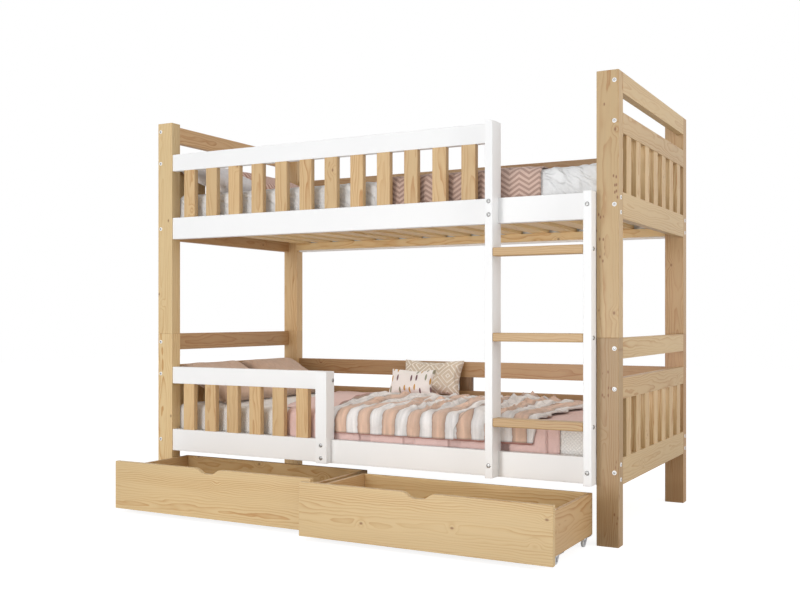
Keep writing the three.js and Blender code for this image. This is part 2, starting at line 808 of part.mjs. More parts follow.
const casterNames = ['front_left', 'front_right', 'rear_left', 'rear_right'];
for (const [name, side, out] of [['left', -1, leftDrawerOut], ['right', 1, rightDrawerOut]]) {
  const drawer = new THREE.Group();
  drawer.position.set(side * (drawerWide + drawerGap) / 2, -out, 0);
  bed.add(drawer);
  addMesh(drawer, `${name}_drawer_front`, drawerFront(), colours.pine);
  addMesh(drawer, `${name}_drawer_box`, drawerBox(), colours.pine);
  casterPlaces.forEach(([x, y], i) => {
    const caster = new THREE.Group();
    caster.position.set(x, y, 0);
    drawer.add(caster);
    addMesh(caster, `${name}_fork_${casterNames[i]}`, casterFork(), colours.fork, 0.5);
    const wheel = addMesh(caster, `${name}_wheel_${casterNames[i]}`, casterWheel(), colours.wheel, 0.5);
    wheel.position.set(0, -trail, axleHeight);
  });
}

const model = new THREE.Group();
model.add(bed);

export default model;
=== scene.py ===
import math
import random

import bmesh
import bpy
from mathutils import Matrix, Vector, noise


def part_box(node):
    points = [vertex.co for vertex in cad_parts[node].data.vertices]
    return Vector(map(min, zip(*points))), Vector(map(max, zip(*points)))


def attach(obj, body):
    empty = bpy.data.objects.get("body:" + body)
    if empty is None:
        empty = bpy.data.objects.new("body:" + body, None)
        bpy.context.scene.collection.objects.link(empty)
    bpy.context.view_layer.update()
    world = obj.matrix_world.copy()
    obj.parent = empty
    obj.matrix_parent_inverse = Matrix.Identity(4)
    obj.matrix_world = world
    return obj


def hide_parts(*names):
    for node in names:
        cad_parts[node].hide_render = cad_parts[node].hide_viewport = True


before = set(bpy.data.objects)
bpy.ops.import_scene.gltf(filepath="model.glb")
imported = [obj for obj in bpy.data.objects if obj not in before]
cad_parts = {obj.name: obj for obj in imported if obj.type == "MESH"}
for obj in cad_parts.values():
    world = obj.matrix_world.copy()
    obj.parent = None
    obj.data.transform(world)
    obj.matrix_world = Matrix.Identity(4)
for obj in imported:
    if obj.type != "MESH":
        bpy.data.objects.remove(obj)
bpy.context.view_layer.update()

# Colours and nodes

# Settings that many nodes share, and the stretch of values that a noise texture mostly keeps to
TIMES = {"operation": "MULTIPLY"}
PLUS = {"operation": "ADD"}
MINUS = {"operation": "SUBTRACT"}
ABOVE = {"operation": "GREATER_THAN"}
SCALE_ADD = {"operation": "MULTIPLY_ADD"}
LENGTH = {"operation": "LENGTH"}
SINE = {"operation": "SINE"}
DISTANCE = {"operation": "ABSOLUTE"}
TO_AND_FRO = {"operation": "PINGPONG"}
SMOOTH = {"interpolation_type": "SMOOTHSTEP"}
BLEND = {"data_type": "RGBA"}
VECTORS = {"data_type": "FLOAT_VECTOR"}
FLAT_CELLS = {"voronoi_dimensions": "2D"}
NOISE_SPAN = {1: 0.3, 2: 0.7}


def linear(code):
    """An sRGB hex colour as linear RGBA."""
    parts = [int(code[i:i + 2], 16) / 255 for i in (1, 3, 5)]
    return (*[c / 12.92 if c <= 0.04045 else ((c + 0.055) / 1.055) ** 2.4 for c in parts], 1.0)


def add(tree, kind, settings=None, inputs=None, out=0):
    """Adds a node with its settings and its inputs' values or links. Gives one output, or the node."""
    node = tree.nodes.new(kind if "Node" in kind else "ShaderNode" + kind)
    for key, value in (settings or {}).items():
        setattr(node, key, value)
    for key, value in (inputs or {}).items():
        if isinstance(value, bpy.types.NodeSocket):
            tree.links.new(value, node.inputs[key])
        else:
            node.inputs[key].default_value = value
    return node.outputs[out] if out is not None and node.outputs else node


def new_material(name):
    made = bpy.data.materials.new(name)
    made.use_nodes = True
    made.node_tree.nodes.clear()
    return made, made.node_tree


def surface(tree, inputs):
    """The principled shader and the material's output."""
    shader = add(tree, "BsdfPrincipled", inputs=inputs)
    add(tree, "OutputMaterial", inputs={"Surface": shader})


# Materials


def pine_material(name, early, late, knot):
    """Planed pine under clear satin lacquer. The grain attribute says where in the tree each point
    was, so a face shows flames, an edge shows fine lines and an end shows rings."""
    ring_step, bulge_reach, bulge_high = 0.0070, 0.026, 0.011
    knot_edge, knot_core = 0.0065, 0.001
    made, tree = new_material(name)
    grain = add(tree, "Attribute", {"attribute_name": "grain"}, out=1)
    # The trunk isn't straight: rings sway 10 mm or so over half a metre
    slow = add(tree, "VectorMath", TIMES, {0: grain, 1: (2.7, 11.0, 11.0)})
    sway = add(tree, "TexNoise", inputs={"Vector": slow, "Scale": 1.0, "Detail": 3.0}, out=1)
    bend = add(tree, "VectorMath", MINUS, {0: sway, 1: (0.5, 0.5, 0.5)})
    bent = add(tree, "VectorMath", SCALE_ADD, {0: bend, 1: (0, 0.05, 0.05), 2: grain})
    # Knots about 10 mm across, some 300 mm apart, with the rings bulging round them
    flat = add(tree, "VectorMath", TIMES, {0: grain, 1: (3.1, 13.0, 0.0)})
    cell = add(tree, "TexVoronoi", FLAT_CELLS, {"Vector": flat, "Scale": 1.0}, out=None).outputs
    apart = add(tree, "VectorMath", MINUS, {0: flat, 1: cell["Position"]})
    real = add(tree, "VectorMath", TIMES, {0: apart, 1: (0.22, 0.077, 0.0)})
    away = add(tree, "VectorMath", LENGTH, {0: real}, out=1)
    lot = add(tree, "SeparateColor", inputs={0: cell["Color"]}, out=0)
    some = add(tree, "Math", ABOVE, {0: lot, 1: 0.66})
    few = add(tree, "Math", ABOVE, {0: lot, 1: 0.84})
    near = add(tree, "MapRange", {"interpolation_type": "SMOOTHERSTEP"},
               {0: away, 1: bulge_reach, 2: 0.0, 3: 0.0, 4: bulge_high})
    bulge = add(tree, "Math", TIMES, {0: near, 1: some})
    radial = add(tree, "VectorMath", TIMES, {0: bent, 1: (0.0, 1.0, 1.0)})
    radius = add(tree, "VectorMath", LENGTH, {0: radial}, out=1)
    swollen = add(tree, "Math", PLUS, {0: radius, 1: bulge})
    # Pale early wood that darkens into a thin late line, then starts afresh. Real rings are 3 to
    # 4 mm apart, and these 7 mm, so that they show
    years = add(tree, "Math", {"operation": "DIVIDE"}, {0: swollen, 1: ring_step})
    fresh = add(tree, "Math", {"operation": "FRACT"}, {0: years})
    line = add(tree, "Math", {"operation": "POWER"}, {0: fresh, 1: 3.2})
    ending = add(tree, "MapRange", SMOOTH, {0: fresh, 1: 1.0, 2: 0.9})
    ring = add(tree, "Math", TIMES, {0: line, 1: ending})
    patch = add(tree, "VectorMath", TIMES, {0: grain, 1: (1.3, 20.0, 20.0)})
    uneven = add(tree, "TexNoise", inputs={"Vector": patch, "Scale": 1.0, "Detail": 1.0})
    strength = add(tree, "MapRange", inputs={0: uneven, 1: 0.35, 2: 0.7, 3: 0.25, 4: 1.25})
    drawn = add(tree, "Math", {"operation": "MULTIPLY", "use_clamp": True}, {0: ring, 1: strength})
    wood = add(tree, "Mix", BLEND, {0: drawn, 6: linear(early), 7: linear(late)}, out=2)
    # Fibres about 1 mm wide and 100 mm long, drawn coarser than real ones so that they show
    fine = add(tree, "VectorMath", TIMES, {0: grain, 1: (9.0, 900.0, 900.0)})
    fibre = add(tree, "TexNoise", inputs={"Vector": fine, "Scale": 1.0, "Detail": 2.0})
    shade = add(tree, "MapRange", inputs={0: fibre, **NOISE_SPAN, 3: 0.955, 4: 1.04})
    broad = add(tree, "VectorMath", TIMES, {0: grain, 1: (0.7, 4.0, 4.0)})
    tone = add(tree, "TexNoise", inputs={"Vector": broad, "Scale": 1.0, "Detail": 0.0})
    tint = add(tree, "MapRange", inputs={0: tone, **NOISE_SPAN, 3: 0.93, 4: 1.05})
    # Painted shade and painted light from the tone attribute: X scales each board's value, Y reddens the
    # boards painted as standing in shade, Z marks the pin-knotted posts
    tone_and_shade = add(tree, "Attribute", {"attribute_name": "tone"}, out=1)
    own = add(tree, "SeparateXYZ", inputs={0: tone_and_shade}, out=None).outputs
    value = shade
    for share in (tint, own["X"]):
        value = add(tree, "Math", TIMES, {0: value, 1: share})
    shaded = add(tree, "HueSaturation", inputs={"Value": value, "Color": wood})
    shade_reddening = add(tree, "VectorMath", SCALE_ADD,
                 {0: own["Y"], 1: (0.0, -0.20, -0.28), 2: (1.0, 1.0, 1.0)})
    toned = add(tree, "VectorMath", TIMES, {0: shaded, 1: shade_reddening})
    core = add(tree, "MapRange", SMOOTH, {0: away, 1: knot_edge, 2: knot_core, 4: 0.8})
    dark = add(tree, "Math", TIMES, {0: core, 1: few})
    # Loose groups of pin knots 2 to 3 mm across, on the posts that the tone names
    thick = add(tree, "VectorMath", TIMES, {0: grain, 1: (38.0, 75.0, 0.0)})
    pin = add(tree, "TexVoronoi", FLAT_CELLS, {"Vector": thick, "Scale": 1.0}, out=None).outputs
    dot = add(tree, "MapRange", SMOOTH, {0: pin["Distance"], 1: 0.30, 2: 0.10, 4: 0.85})
    pin_lot = add(tree, "SeparateColor", inputs={0: pin["Color"]}, out=0)
    lone = add(tree, "Math", ABOVE, {0: pin_lot, 1: 0.5})
    wide = add(tree, "VectorMath", TIMES, {0: grain, 1: (7.0, 22.0, 0.0)})
    group = add(tree, "TexNoise", inputs={"Vector": wide, "Scale": 1.0, "Detail": 0.0})
    there = add(tree, "MapRange", SMOOTH, {0: group, 1: 0.58, 2: 0.64})
    pins = add(tree, "Math", TIMES, {0: dot, 1: lone})
    for share in (there, own["Z"]):
        pins = add(tree, "Math", TIMES, {0: pins, 1: share})
    dark = add(tree, "Math", {"operation": "MAXIMUM"}, {0: dark, 1: pins})
    knotted = add(tree, "Mix", BLEND, {0: dark, 6: toned, 7: linear(knot)}, out=2)
    relief = add(tree, "Math", PLUS, {0: fibre, 1: ring})
    bump = add(tree, "Bump", inputs={"Strength": 0.12, "Distance": 0.0004, "Height": relief})
    rough = add(tree, "MapRange", inputs={0: fibre, **NOISE_SPAN, 3: 0.46, 4: 0.56})
    surface(tree, {"Base Color": knotted, "Roughness": rough, "Normal": bump,
                   "Coat Weight": 0.12, "Coat Roughness": 0.3})
    return made


def paint_material():
    """White satin lacquer sprayed on primed pine: even and pale, with a faint orange peel."""
    made, tree = new_material("white_lacquer")
    place = add(tree, "TexCoord", out=3)
    # Orange peel of about 4 mm
    peel = add(tree, "TexNoise", inputs={"Vector": place, "Scale": 240.0, "Detail": 2.0})
    cloud = add(tree, "TexNoise", inputs={"Vector": place, "Scale": 3.0, "Detail": 1.0})
    colour = add(tree, "Mix", BLEND, {0: cloud, 6: linear("#EFEFEE"), 7: linear("#F5F5F4")}, out=2)
    bump = add(tree, "Bump", inputs={"Strength": 0.08, "Distance": 0.0004, "Height": peel})
    rough = add(tree, "MapRange", inputs={0: peel, **NOISE_SPAN, 3: 0.34, 4: 0.44})
    surface(tree, {"Base Color": colour, "Roughness": rough, "Normal": bump})
    return made


def metal_material(name, colour, low, high):
    """Zinc-plated steel: grey and softly shining, with fine scratches from handling."""
    made, tree = new_material(name)
    place = add(tree, "TexCoord", out=3)
    scratch = add(tree, "TexNoise", inputs={"Vector": place, "Scale": 900.0, "Detail": 3.0})
    rough = add(tree, "MapRange", inputs={0: scratch, **NOISE_SPAN, 3: low, 4: high})
    value = add(tree, "MapRange", inputs={0: scratch, **NOISE_SPAN, 3: 0.92, 4: 1.05})
    tone = add(tree, "HueSaturation", inputs={"Value": value, "Color": linear(colour)})
    surface(tree, {"Base Color": tone, "Metallic": 1.0, "Roughness": rough})
    return made


def plastic_material(name, colour, low, high):
    """Moulded nylon or polyethylene: a smooth skin with a very fine spark-eroded grain."""
    made, tree = new_material(name)
    place = add(tree, "TexCoord", out=3)
    skin = add(tree, "TexNoise", inputs={"Vector": place, "Scale": 1400.0, "Detail": 2.0})
    rough = add(tree, "MapRange", inputs={0: skin, **NOISE_SPAN, 3: low, 4: high})
    value = add(tree, "MapRange", inputs={0: skin, **NOISE_SPAN, 3: 0.96, 4: 1.03})
    tone = add(tree, "HueSaturation", inputs={"Value": value, "Color": linear(colour)})
    bump = add(tree, "Bump", inputs={"Strength": 0.1, "Distance": 0.0002, "Height": skin})
    surface(tree, {"Base Color": tone, "Roughness": rough, "Normal": bump})
    return made


pine = pine_material("lacquered_pine", "#DCBF8D", "#B8813F", "#7C4E2A")
paint = paint_material()
zinc = metal_material("zinc_plated_steel", "#A2A2A1", 0.28, 0.42)
cap_nylon = plastic_material("white_nylon", "#F1F0EE", 0.3, 0.42)
fork_nylon = plastic_material("clear_grey_nylon", "#C3C4C8", 0.22, 0.34)
wheel_plastic = plastic_material("pale_wheel_rubber", "#D9DADB", 0.4, 0.55)

# Meshes and pieces


def linked(name, data):
    """A new object in the scene."""
    made = bpy.data.objects.new(name, data)
    bpy.context.scene.collection.objects.link(made)
    return made


def mesh_from(shape, name):
    """Ends an edited shape in a new mesh."""
    mesh = bpy.data.meshes.new(name)
    shape.to_mesh(mesh)
    shape.free()
    return mesh


def store(mesh, name, vectors):
    """Gives each point of a mesh its vector under a name."""
    made = mesh.attributes.new(name, "FLOAT_VECTOR", "POINT")
    made.data.foreach_set("vector", [part for vector in vectors for part in vector])


def smoothed(mesh, flat_faces=0):
    """Shades a mesh smooth, but for its first faces."""
    for i, polygon in enumerate(mesh.polygons):
        polygon.use_smooth = i >= flat_faces


def mesh_spans(mesh):
    return [(min(v.co[i] for v in mesh.vertices), max(v.co[i] for v in mesh.vertices)) for i in range(3)]


def node_spans(node):
    """A CAD node's spans in X, Y and Z, to the micrometre."""
    return [(round(low, 6), round(high, 6)) for low, high in zip(*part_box(node))]


def middle(span):
    return (span[0] + span[1]) / 2


def inset(span, by):
    return (span[0] + by, span[1] - by)


def place_mesh(name, mesh, finish, body, nodes=()):
    """Puts a finished mesh in the scene as a piece that rides on a body."""
    made = linked(name, mesh)
    if finish:
        mesh.materials.clear()
        mesh.materials.append(finish)
    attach(made, body)
    if nodes:
        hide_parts(*nodes)
    return made


# Boards

EASED = 0.0015
# Boards shaded paler, darker or redder than the rest: a share of the common tone, and how red
# Mostly painted shade and painted light: boards that stand in shade are painted darker and redder, and the
# bed slats paler for the light bounced under them; partly the wood's own tone
PAINTED_SHADE_TONES = {
    "lower_post_front_left": (1.02, -0.05), "upper_post_front_left": (1.02, -0.05),
    "lower_post_front_right": (0.53, 0.5), "upper_post_front_right": (0.69, 0.25),
    "lower_post_rear_right": (0.60, 0.9), "upper_post_rear_right": (0.64, 0.55),
    "post_rear_left": (0.94, 0.3), "guard_slats": (0.92, 0.3), "back_board": (0.62, 0.8),
    "back_batten": (0.27, 1.1), "bed_slats": (1.2, -0.15), "cleat": (1.1, -0.1), "rung": (0.80, 0.4),
    "lower_end_top_left": (0.62, 0.8), "end_top_left": (1.0, 0.65),
    "end_middle_left": (0.76, 0.8), "end_bottom_left": (0.78, 0.8),
    "end_top_right": (0.77, 0.15), "end_middle_right": (0.73, 0.3), "end_bottom_right": (0.75, 0.15),
    "end_slats_right": (0.80, 0.25), "drawer_face": (0.86, 0.0), "drawer_side": (0.76, 0.5)}
COMMON_TONE = (1.0, 0.0)
PIN_KNOTTED = "post_front_right"
# Where along its tree a board starts, and how far the pith lies off its middle, in metres
TREE_LONG = 60
PITH_SHARE = 0.35
PITH_NEAR, PITH_FAR = 0.028, 0.06


def store_grain(mesh, run, name):
    """Each board was cut from its own place: the pith lies some 20 to 60 mm off its middle."""
    luck = random.Random(name)
    # The tone attribute carries the table's painted shade and painted light, a little random tone of the
    # wood's own, and the pin-knot mark
    value, shade_red = next((pair for part, pair in PAINTED_SHADE_TONES.items() if part in name), COMMON_TONE)
    tone = (value * luck.uniform(0.97, 1.03), shade_red, float(PIN_KNOTTED in name))
    store(mesh, "tone", [tone] * len(mesh.vertices))
    spans = mesh_spans(mesh)
    along = "xyz".index(run)
    a, b = sorted((i for i in range(3) if i != along), key=lambda i: spans[i][0] - spans[i][1])
    start = luck.uniform(0, TREE_LONG)
    pith_a = luck.uniform(-PITH_SHARE, PITH_SHARE) * (spans[a][1] - spans[a][0]) - middle(spans[a])
    pith_b = luck.choice((-1, 1)) * luck.uniform(PITH_NEAR, PITH_FAR) - middle(spans[b])
    store(mesh, "grain", [(start + v.co[along], v.co[a] + pith_a, v.co[b] + pith_b) for v in mesh.vertices])


def prism(shape, rings):
    """A solid between two equal rings of points."""
    low, high = [[shape.verts.new(spot) for spot in ring] for ring in rings]
    shape.faces.new(low[::-1])
    shape.faces.new(high)
    for i in range(len(low)):
        j = (i + 1) % len(low)
        shape.faces.new((low[i], low[j], high[j], high[i]))


def board_mesh(name, run, outline, span, edge=EASED):
    """An outline in the two axes that follow the run, extruded along it, with eased edges."""
    along = "xyz".index(run)
    order = [(i - along) % 3 for i in range(3)]
    shape = bmesh.new()
    prism(shape, [[[(end, a, b)[i] for i in order] for a, b in outline] for end in span])
    bmesh.ops.recalc_face_normals(shape, faces=shape.faces)
    if edge:
        bmesh.ops.bevel(shape, geom=shape.edges[:], offset=edge, segments=2, profile=0.5,
                        affect="EDGES", clamp_overlap=True)
    mesh = mesh_from(shape, name)
    store_grain(mesh, run, name)
    return mesh


def straight_mesh(name, run, x, y, z, edge=EASED):
    """A straight board between three pairs of faces."""
    (a0, a1), (b0, b1), span = {"x": (y, z, x), "y": (z, x, y), "z": (x, y, z)}[run]
    return board_mesh(name, run, [(a0, b0), (a1, b0), (a1, b1), (a0, b1)], span, edge)


def board(name, run, x, y, z, finish=pine, body="bed_frame", nodes=(), edge=EASED):
    return place_mesh(name, straight_mesh(name, run, x, y, z, edge), finish, body, nodes)


def group_sockets(tree, inputs):
    """Declares a tree's inputs by name and kind, and its geometry output."""
    for name, kind in inputs.items():
        tree.interface.new_socket(name, in_out="INPUT", socket_type="NodeSocket" + kind)
    tree.interface.new_socket("Geometry", in_out="OUTPUT", socket_type="NodeSocketGeometry")
    return add(tree, "NodeGroupInput", out=None).outputs


def slat_row_tree():
    """Repeats a board at even steps, each copy cut from another place in the tree."""
    tree = bpy.data.node_groups.new("slat_row", "GeometryNodeTree")
    given = group_sockets(tree, {"Geometry": "Geometry", "Count": "Int", "Step": "Vector",
                                 "Seed": "Int", "Finish": "Material"})
    line = add(tree, "GeometryNodeMeshLine", {"mode": "OFFSET"},
               {"Count": given["Count"], "Offset": given["Step"]})
    copies = add(tree, "GeometryNodeInstanceOnPoints", inputs={"Points": line, "Instance": given["Geometry"]})
    place = add(tree, "FunctionNodeRandomValue", VECTORS, {
        0: (0.0, -0.02, -0.008), 1: (TREE_LONG, 0.02, 0.008),
        "ID": add(tree, "GeometryNodeInputIndex"), "Seed": given["Seed"]})
    marked = add(tree, "GeometryNodeStoreNamedAttribute", {**VECTORS, "domain": "INSTANCE"},
                 {"Geometry": copies, "Name": "place", "Value": place})
    real = add(tree, "GeometryNodeRealizeInstances", inputs={"Geometry": marked})
    old = add(tree, "GeometryNodeInputNamedAttribute", VECTORS, {"Name": "grain"})
    shift = add(tree, "GeometryNodeInputNamedAttribute", VECTORS, {"Name": "place"})
    moved = add(tree, "VectorMath", PLUS, {0: old, 1: shift})
    grained = add(tree, "GeometryNodeStoreNamedAttribute", {**VECTORS, "domain": "POINT"},
                  {"Geometry": real, "Name": "grain", "Value": moved})
    done = add(tree, "GeometryNodeSetMaterial", inputs={"Geometry": grained, "Material": given["Finish"]})
    add(tree, "NodeGroupOutput", inputs={0: done})
    return tree


def head_points_tree():
    """Sets a fastener's head on each point, facing the way that the point's out attribute says."""
    tree = bpy.data.node_groups.new("heads_on_points", "GeometryNodeTree")
    given = group_sockets(tree, {"Geometry": "Geometry", "Head": "Object", "Finish": "Material"})
    head = add(tree, "GeometryNodeObjectInfo", inputs={"Object": given["Head"]}, out="Geometry")
    out = add(tree, "GeometryNodeInputNamedAttribute", VECTORS, {"Name": "out"})
    facing = add(tree, "FunctionNodeAlignRotationToVector", {"axis": "Z"}, {"Vector": out})
    heads = add(tree, "GeometryNodeInstanceOnPoints",
                inputs={"Points": given["Geometry"], "Instance": head, "Rotation": facing})
    real = add(tree, "GeometryNodeRealizeInstances", inputs={"Geometry": heads})
    done = add(tree, "GeometryNodeSetMaterial", inputs={"Geometry": real, "Material": given["Finish"]})
    add(tree, "NodeGroupOutput", inputs={0: done})
    return tree


def grown(name, mesh, tree, values):
    """Runs a tree on a mesh and gives the result as a plain mesh."""
    host = linked(name, mesh)
    modifier = host.modifiers.new("make", "NODES")
    modifier.node_group = tree
    for item in tree.interface.items_tree:
        if item.in_out == "INPUT" and item.name in values:
            modifier[item.identifier] = values[item.name]
    graph = bpy.context.evaluated_depsgraph_get()
    made = bpy.data.meshes.new_from_object(
        host.evaluated_get(graph), preserve_all_data_layers=True, depsgraph=graph)
    made.name = name
    bpy.data.objects.remove(host)
    return made


slat_row = slat_row_tree()
heads_on_points = head_points_tree()


def slats(name, run, x, y, z, count, step, seed, nodes):
    """A row of equal slats from the first one and the step to the next."""
    first = straight_mesh(name + "_first", run, x, y, z)
    mesh = grown(name, first, slat_row, {"Count": count, "Step": step, "Seed": seed, "Finish": pine})
    return place_mesh(name, mesh, None, "bed_frame", nodes)


def even_steps(span, wide, count):
    """The first slat of a row that fills the span, and the step to the next."""
    return (span[0], span[0] + wide), (span[1] - span[0] - wide) / (count - 1)


# The frame

LEVELS = ("lower", "upper")
FACES = ("front", "rear")
SIDES = ("left", "right")
BOARD_TALL = 0.070
LOW_BOARD_TALL = 0.090
GUARD_THICK = 0.028
# Slats and battens lie this far behind the faces of their boards, and reach as far into them
SLAT_INSET = 0.002
END_SLATS, END_SLAT_WIDE, END_SLAT_MARGIN = 7, 0.058, 0.049
BED_SLATS, BED_SLAT_WIDE, BED_SLAT_THICK = 15, 0.070, 0.018
BED_SLAT_MARGIN, BED_SLAT_GAP = 0.007, 0.003
CLEAT_TALL, CLEAT_THICK = 0.034, 0.025
BATTEN_WIDE, BATTEN_SEAT = 0.064, 0.001
RUNG_EASED = 0.004

rails = {level: node_spans(f"{level}_rail_front") for level in LEVELS}
ladder = {side: node_spans(f"ladder_{side}_upright") for side in SIDES}
rungs = [node_spans(f"ladder_rung_{i}") for i in (1, 2, 3)]
upper_guard, lower_guard = node_spans("upper_guard"), node_spans("lower_guard")
left_x, front_y, _ = node_spans("lower_post_front_left")
right_x, rear_y, _ = node_spans("lower_post_rear_right")

for level in LEVELS:
    for side in SIDES:
        for face in FACES:
            node = f"{level}_post_{face}_{side}"
            board(node + "_pine", "z", *node_spans(node), nodes=[node])
        node = f"{level}_end_board_{side}"
        board(f"{level}_end_top_{side}", "y", *node_spans(node), nodes=[node])
        node = f"{level}_end_panel_{side}"
        x, y, (bottom, top) = node_spans(node)
        low, high = (bottom, bottom + LOW_BOARD_TALL), (top - BOARD_TALL, top)
        board(f"{level}_end_middle_{side}", "y", x, y, high, nodes=[node])
        board(f"{level}_end_bottom_{side}", "y", x, y, low, nodes=[node])
        first, step = even_steps(inset(y, END_SLAT_MARGIN), END_SLAT_WIDE, END_SLATS)
        slats(f"{level}_end_slats_{side}", "z", inset(x, SLAT_INSET), first,
              inset((low[1], high[0]), -SLAT_INSET), END_SLATS, (0, step, 0), len(level) + len(side), [node])
    for face in FACES:
        node = f"{level}_rail_{face}"
        white = face == "front" or level == "upper"
        board(node + "_board", "x", *node_spans(node), finish=paint if white else pine, nodes=[node])
    node = f"{level}_slat_deck"
    x, y, (bottom, top) = node_spans(node)
    for face, cleat in (("front", (y[0], y[0] + CLEAT_THICK)), ("rear", (y[1] - CLEAT_THICK, y[1]))):
        board(f"{level}_cleat_{face}", "x", x, cleat, (bottom, bottom + CLEAT_TALL), nodes=[node])
    first, step = even_steps(inset(x, BED_SLAT_MARGIN), BED_SLAT_WIDE, BED_SLATS)
    slats(f"{level}_bed_slats", "y", first, inset(y, BED_SLAT_GAP), (top - BED_SLAT_THICK, top),
          BED_SLATS, (step, 0, 0), 5 + len(level), [node])
    node = f"{level}_back_guard"
    x, y, (bottom, top) = node_spans(node)
    high = (top - BOARD_TALL, top)
    low = (middle((bottom, top)) - BOARD_TALL, middle((bottom, top)))
    batten = ((-BATTEN_WIDE / 2, BATTEN_WIDE / 2), inset(y, SLAT_INSET))
    board(f"{level}_back_board_high", "x", x, y, high, nodes=[node])
    board(f"{level}_back_board_low", "x", x, y, low, nodes=[node])
    board(f"{level}_back_batten_high", "z", *batten, inset((low[1], high[0]), -SLAT_INSET), nodes=[node])
    board(f"{level}_back_batten_low", "z", *batten, (bottom - BATTEN_SEAT, low[0] + SLAT_INSET), nodes=[node])

GUARD_SLAT_WIDE = 0.056
GUARD_END_WIDE = 0.050
guard_y = (rails["lower"][1][0], rails["lower"][1][0] + GUARD_THICK)
guard_end_x = (lower_guard[0][1] - GUARD_END_WIDE, lower_guard[0][1])


def guard_row(level, end, top, count):
    """A white board with pine slats down to the white rail."""
    nodes = [f"{level}_guard"]
    (start, _), _, (_, rail_top) = rails[level]
    board(f"{level}_guard_board", "x", (start, end), guard_y, (top - BOARD_TALL, top), paint, nodes=nodes)
    gap = (end - start - count * GUARD_SLAT_WIDE) / (count + 1)
    first = (start + gap, start + gap + GUARD_SLAT_WIDE)
    slats(f"{level}_guard_slats", "z", first, inset(guard_y, SLAT_INSET),
          (rail_top, top - BOARD_TALL + SLAT_INSET), count, (GUARD_SLAT_WIDE + gap, 0, 0), 20 + count, nodes)


guard_row("upper", upper_guard[0][1], upper_guard[2][1], 12)
guard_row("lower", guard_end_x[0], lower_guard[2][1], 6)


def upright(name, x, y, z, levels, node):
    """An upright in front of the rails, cut out at its back where a rail passes."""
    (front, back), (bottom, top) = y, z
    outline, height = [(front, bottom)], bottom
    for level in levels:
        _, (seat, _), (rail_bottom, rail_top) = rails[level]
        if rail_bottom > height:
            outline += [(back, height), (back, rail_bottom)]
        outline += [(seat, max(rail_bottom, bottom)), (seat, rail_top)]
        height = rail_top
    if top > height:
        outline += [(back, height), (back, top)]
    outline.append((front, top))
    mesh = board_mesh(name, "x", outline, x)
    return place_mesh(name, mesh, paint, "bed_frame", [node])


for side in SIDES:
    upright(f"ladder_{side}_side", *ladder[side], LEVELS, f"ladder_{side}_upright")
guard_end_y = (lower_guard[1][0], ladder["left"][1][1])
upright("lower_guard_end", guard_end_x, guard_end_y, lower_guard[2], ["lower"], "lower_guard")
for i, spans in enumerate(rungs, 1):
    board(f"rung_{i}", "x", *spans, nodes=[f"ladder_rung_{i}"], edge=RUNG_EASED)

# Fasteners

SHARP = math.radians(38)


def turned_mesh(name, profile, count=24):
    """A closed profile of (radius, height) turned about Z."""
    shape = bmesh.new()
    rings = []
    for radius, height in profile:
        turn = [2 * math.pi * i / count for i in range(count)] if radius else [0]
        rings.append([shape.verts.new((radius * math.cos(t), radius * math.sin(t), height)) for t in turn])
    for low, high in zip(rings, rings[1:]):
        for i in range(count):
            j = (i + 1) % count
            corners = [low[i % len(low)], low[j % len(low)], high[j % len(high)], high[i % len(high)]]
            shape.faces.new(dict.fromkeys(corners))
    bmesh.ops.recalc_face_normals(shape, faces=shape.faces)
    mesh = mesh_from(shape, name)
    smoothed(mesh)
    mesh.set_sharp_from_angle(angle=SHARP)
    return mesh


def heads(name, head, finish, spots, body):
    """One kind of head on points, each a place and the way that it faces."""
    points = bpy.data.meshes.new(name + "_points")
    points.from_pydata([place for place, out in spots], [], [])
    store(points, "out", [out for place, out in spots])
    holder = linked(name + "_head", head)
    mesh = grown(name, points, heads_on_points, {"Head": holder, "Finish": finish})
    bpy.data.objects.remove(holder)
    return place_mesh(name, mesh, None, body)


# How far the bolts' middles lie from the bed's ends, from a rail's edges and from a ladder's front
PANEL_BOLT, RAIL_BOLT, RUNG_BOLT = 0.0145, 0.020, 0.024
UPPER_RAIL_BOLTS = (0.016, 0.027)
GUARD_END_BOLT = 0.021
FORWARD, BACKWARD = (0, -1, 0), (0, 1, 0)

post_spots = []
for end, way in ((left_x[0], 1), (right_x[1], -1)):
    for level in LEVELS:
        panel = node_spans(f"{level}_end_panel_left")[2]
        heights = (middle(node_spans(f"{level}_end_board_left")[2]), panel[1] - BOARD_TALL / 2,
                   panel[0] + LOW_BOARD_TALL / 2)
        for height in heights:
            post_spots += [((end + way * PANEL_BOLT, front_y[0], height), FORWARD),
                           ((end + way * PANEL_BOLT, rear_y[1], height), BACKWARD)]
rail_bolts = [height for level in LEVELS for height in inset(rails[level][2], RAIL_BOLT)]
for end, way in ((left_x[0], -1), (right_x[1], 1)):
    for y in (front_y, rear_y):
        post_spots += [((end, middle(y), height), (way, 0, 0)) for height in rail_bolts]

low_rail, high_rail = rails["lower"][2], rails["upper"][2]
ladder_front = ladder["left"][1][0]
left_bolts = (high_rail[1] - UPPER_RAIL_BOLTS[0], high_rail[0] + UPPER_RAIL_BOLTS[1], middle(low_rail))
right_bolts = (middle(high_rail), middle(low_rail))
white_spots = [((middle(ladder[side][0]), ladder_front, height), FORWARD)
               for side, bolts in (("left", left_bolts), ("right", right_bolts)) for height in bolts]
for spans in rungs:
    for x, way in ((ladder["left"][0][0], -1), (ladder["right"][0][1], 1)):
        white_spots.append(((x, ladder_front + RUNG_BOLT, middle(spans[2])), (way, 0, 0)))
white_spots += [((middle(guard_end_x), guard_end_y[0], height), FORWARD)
                for height in (low_rail[1] - RAIL_BOLT, low_rail[0] + GUARD_END_BOLT)]
white_spots.append(((guard_end_x[1], middle(guard_y), lower_guard[2][1] - BOARD_TALL / 2), (1, 0, 0)))

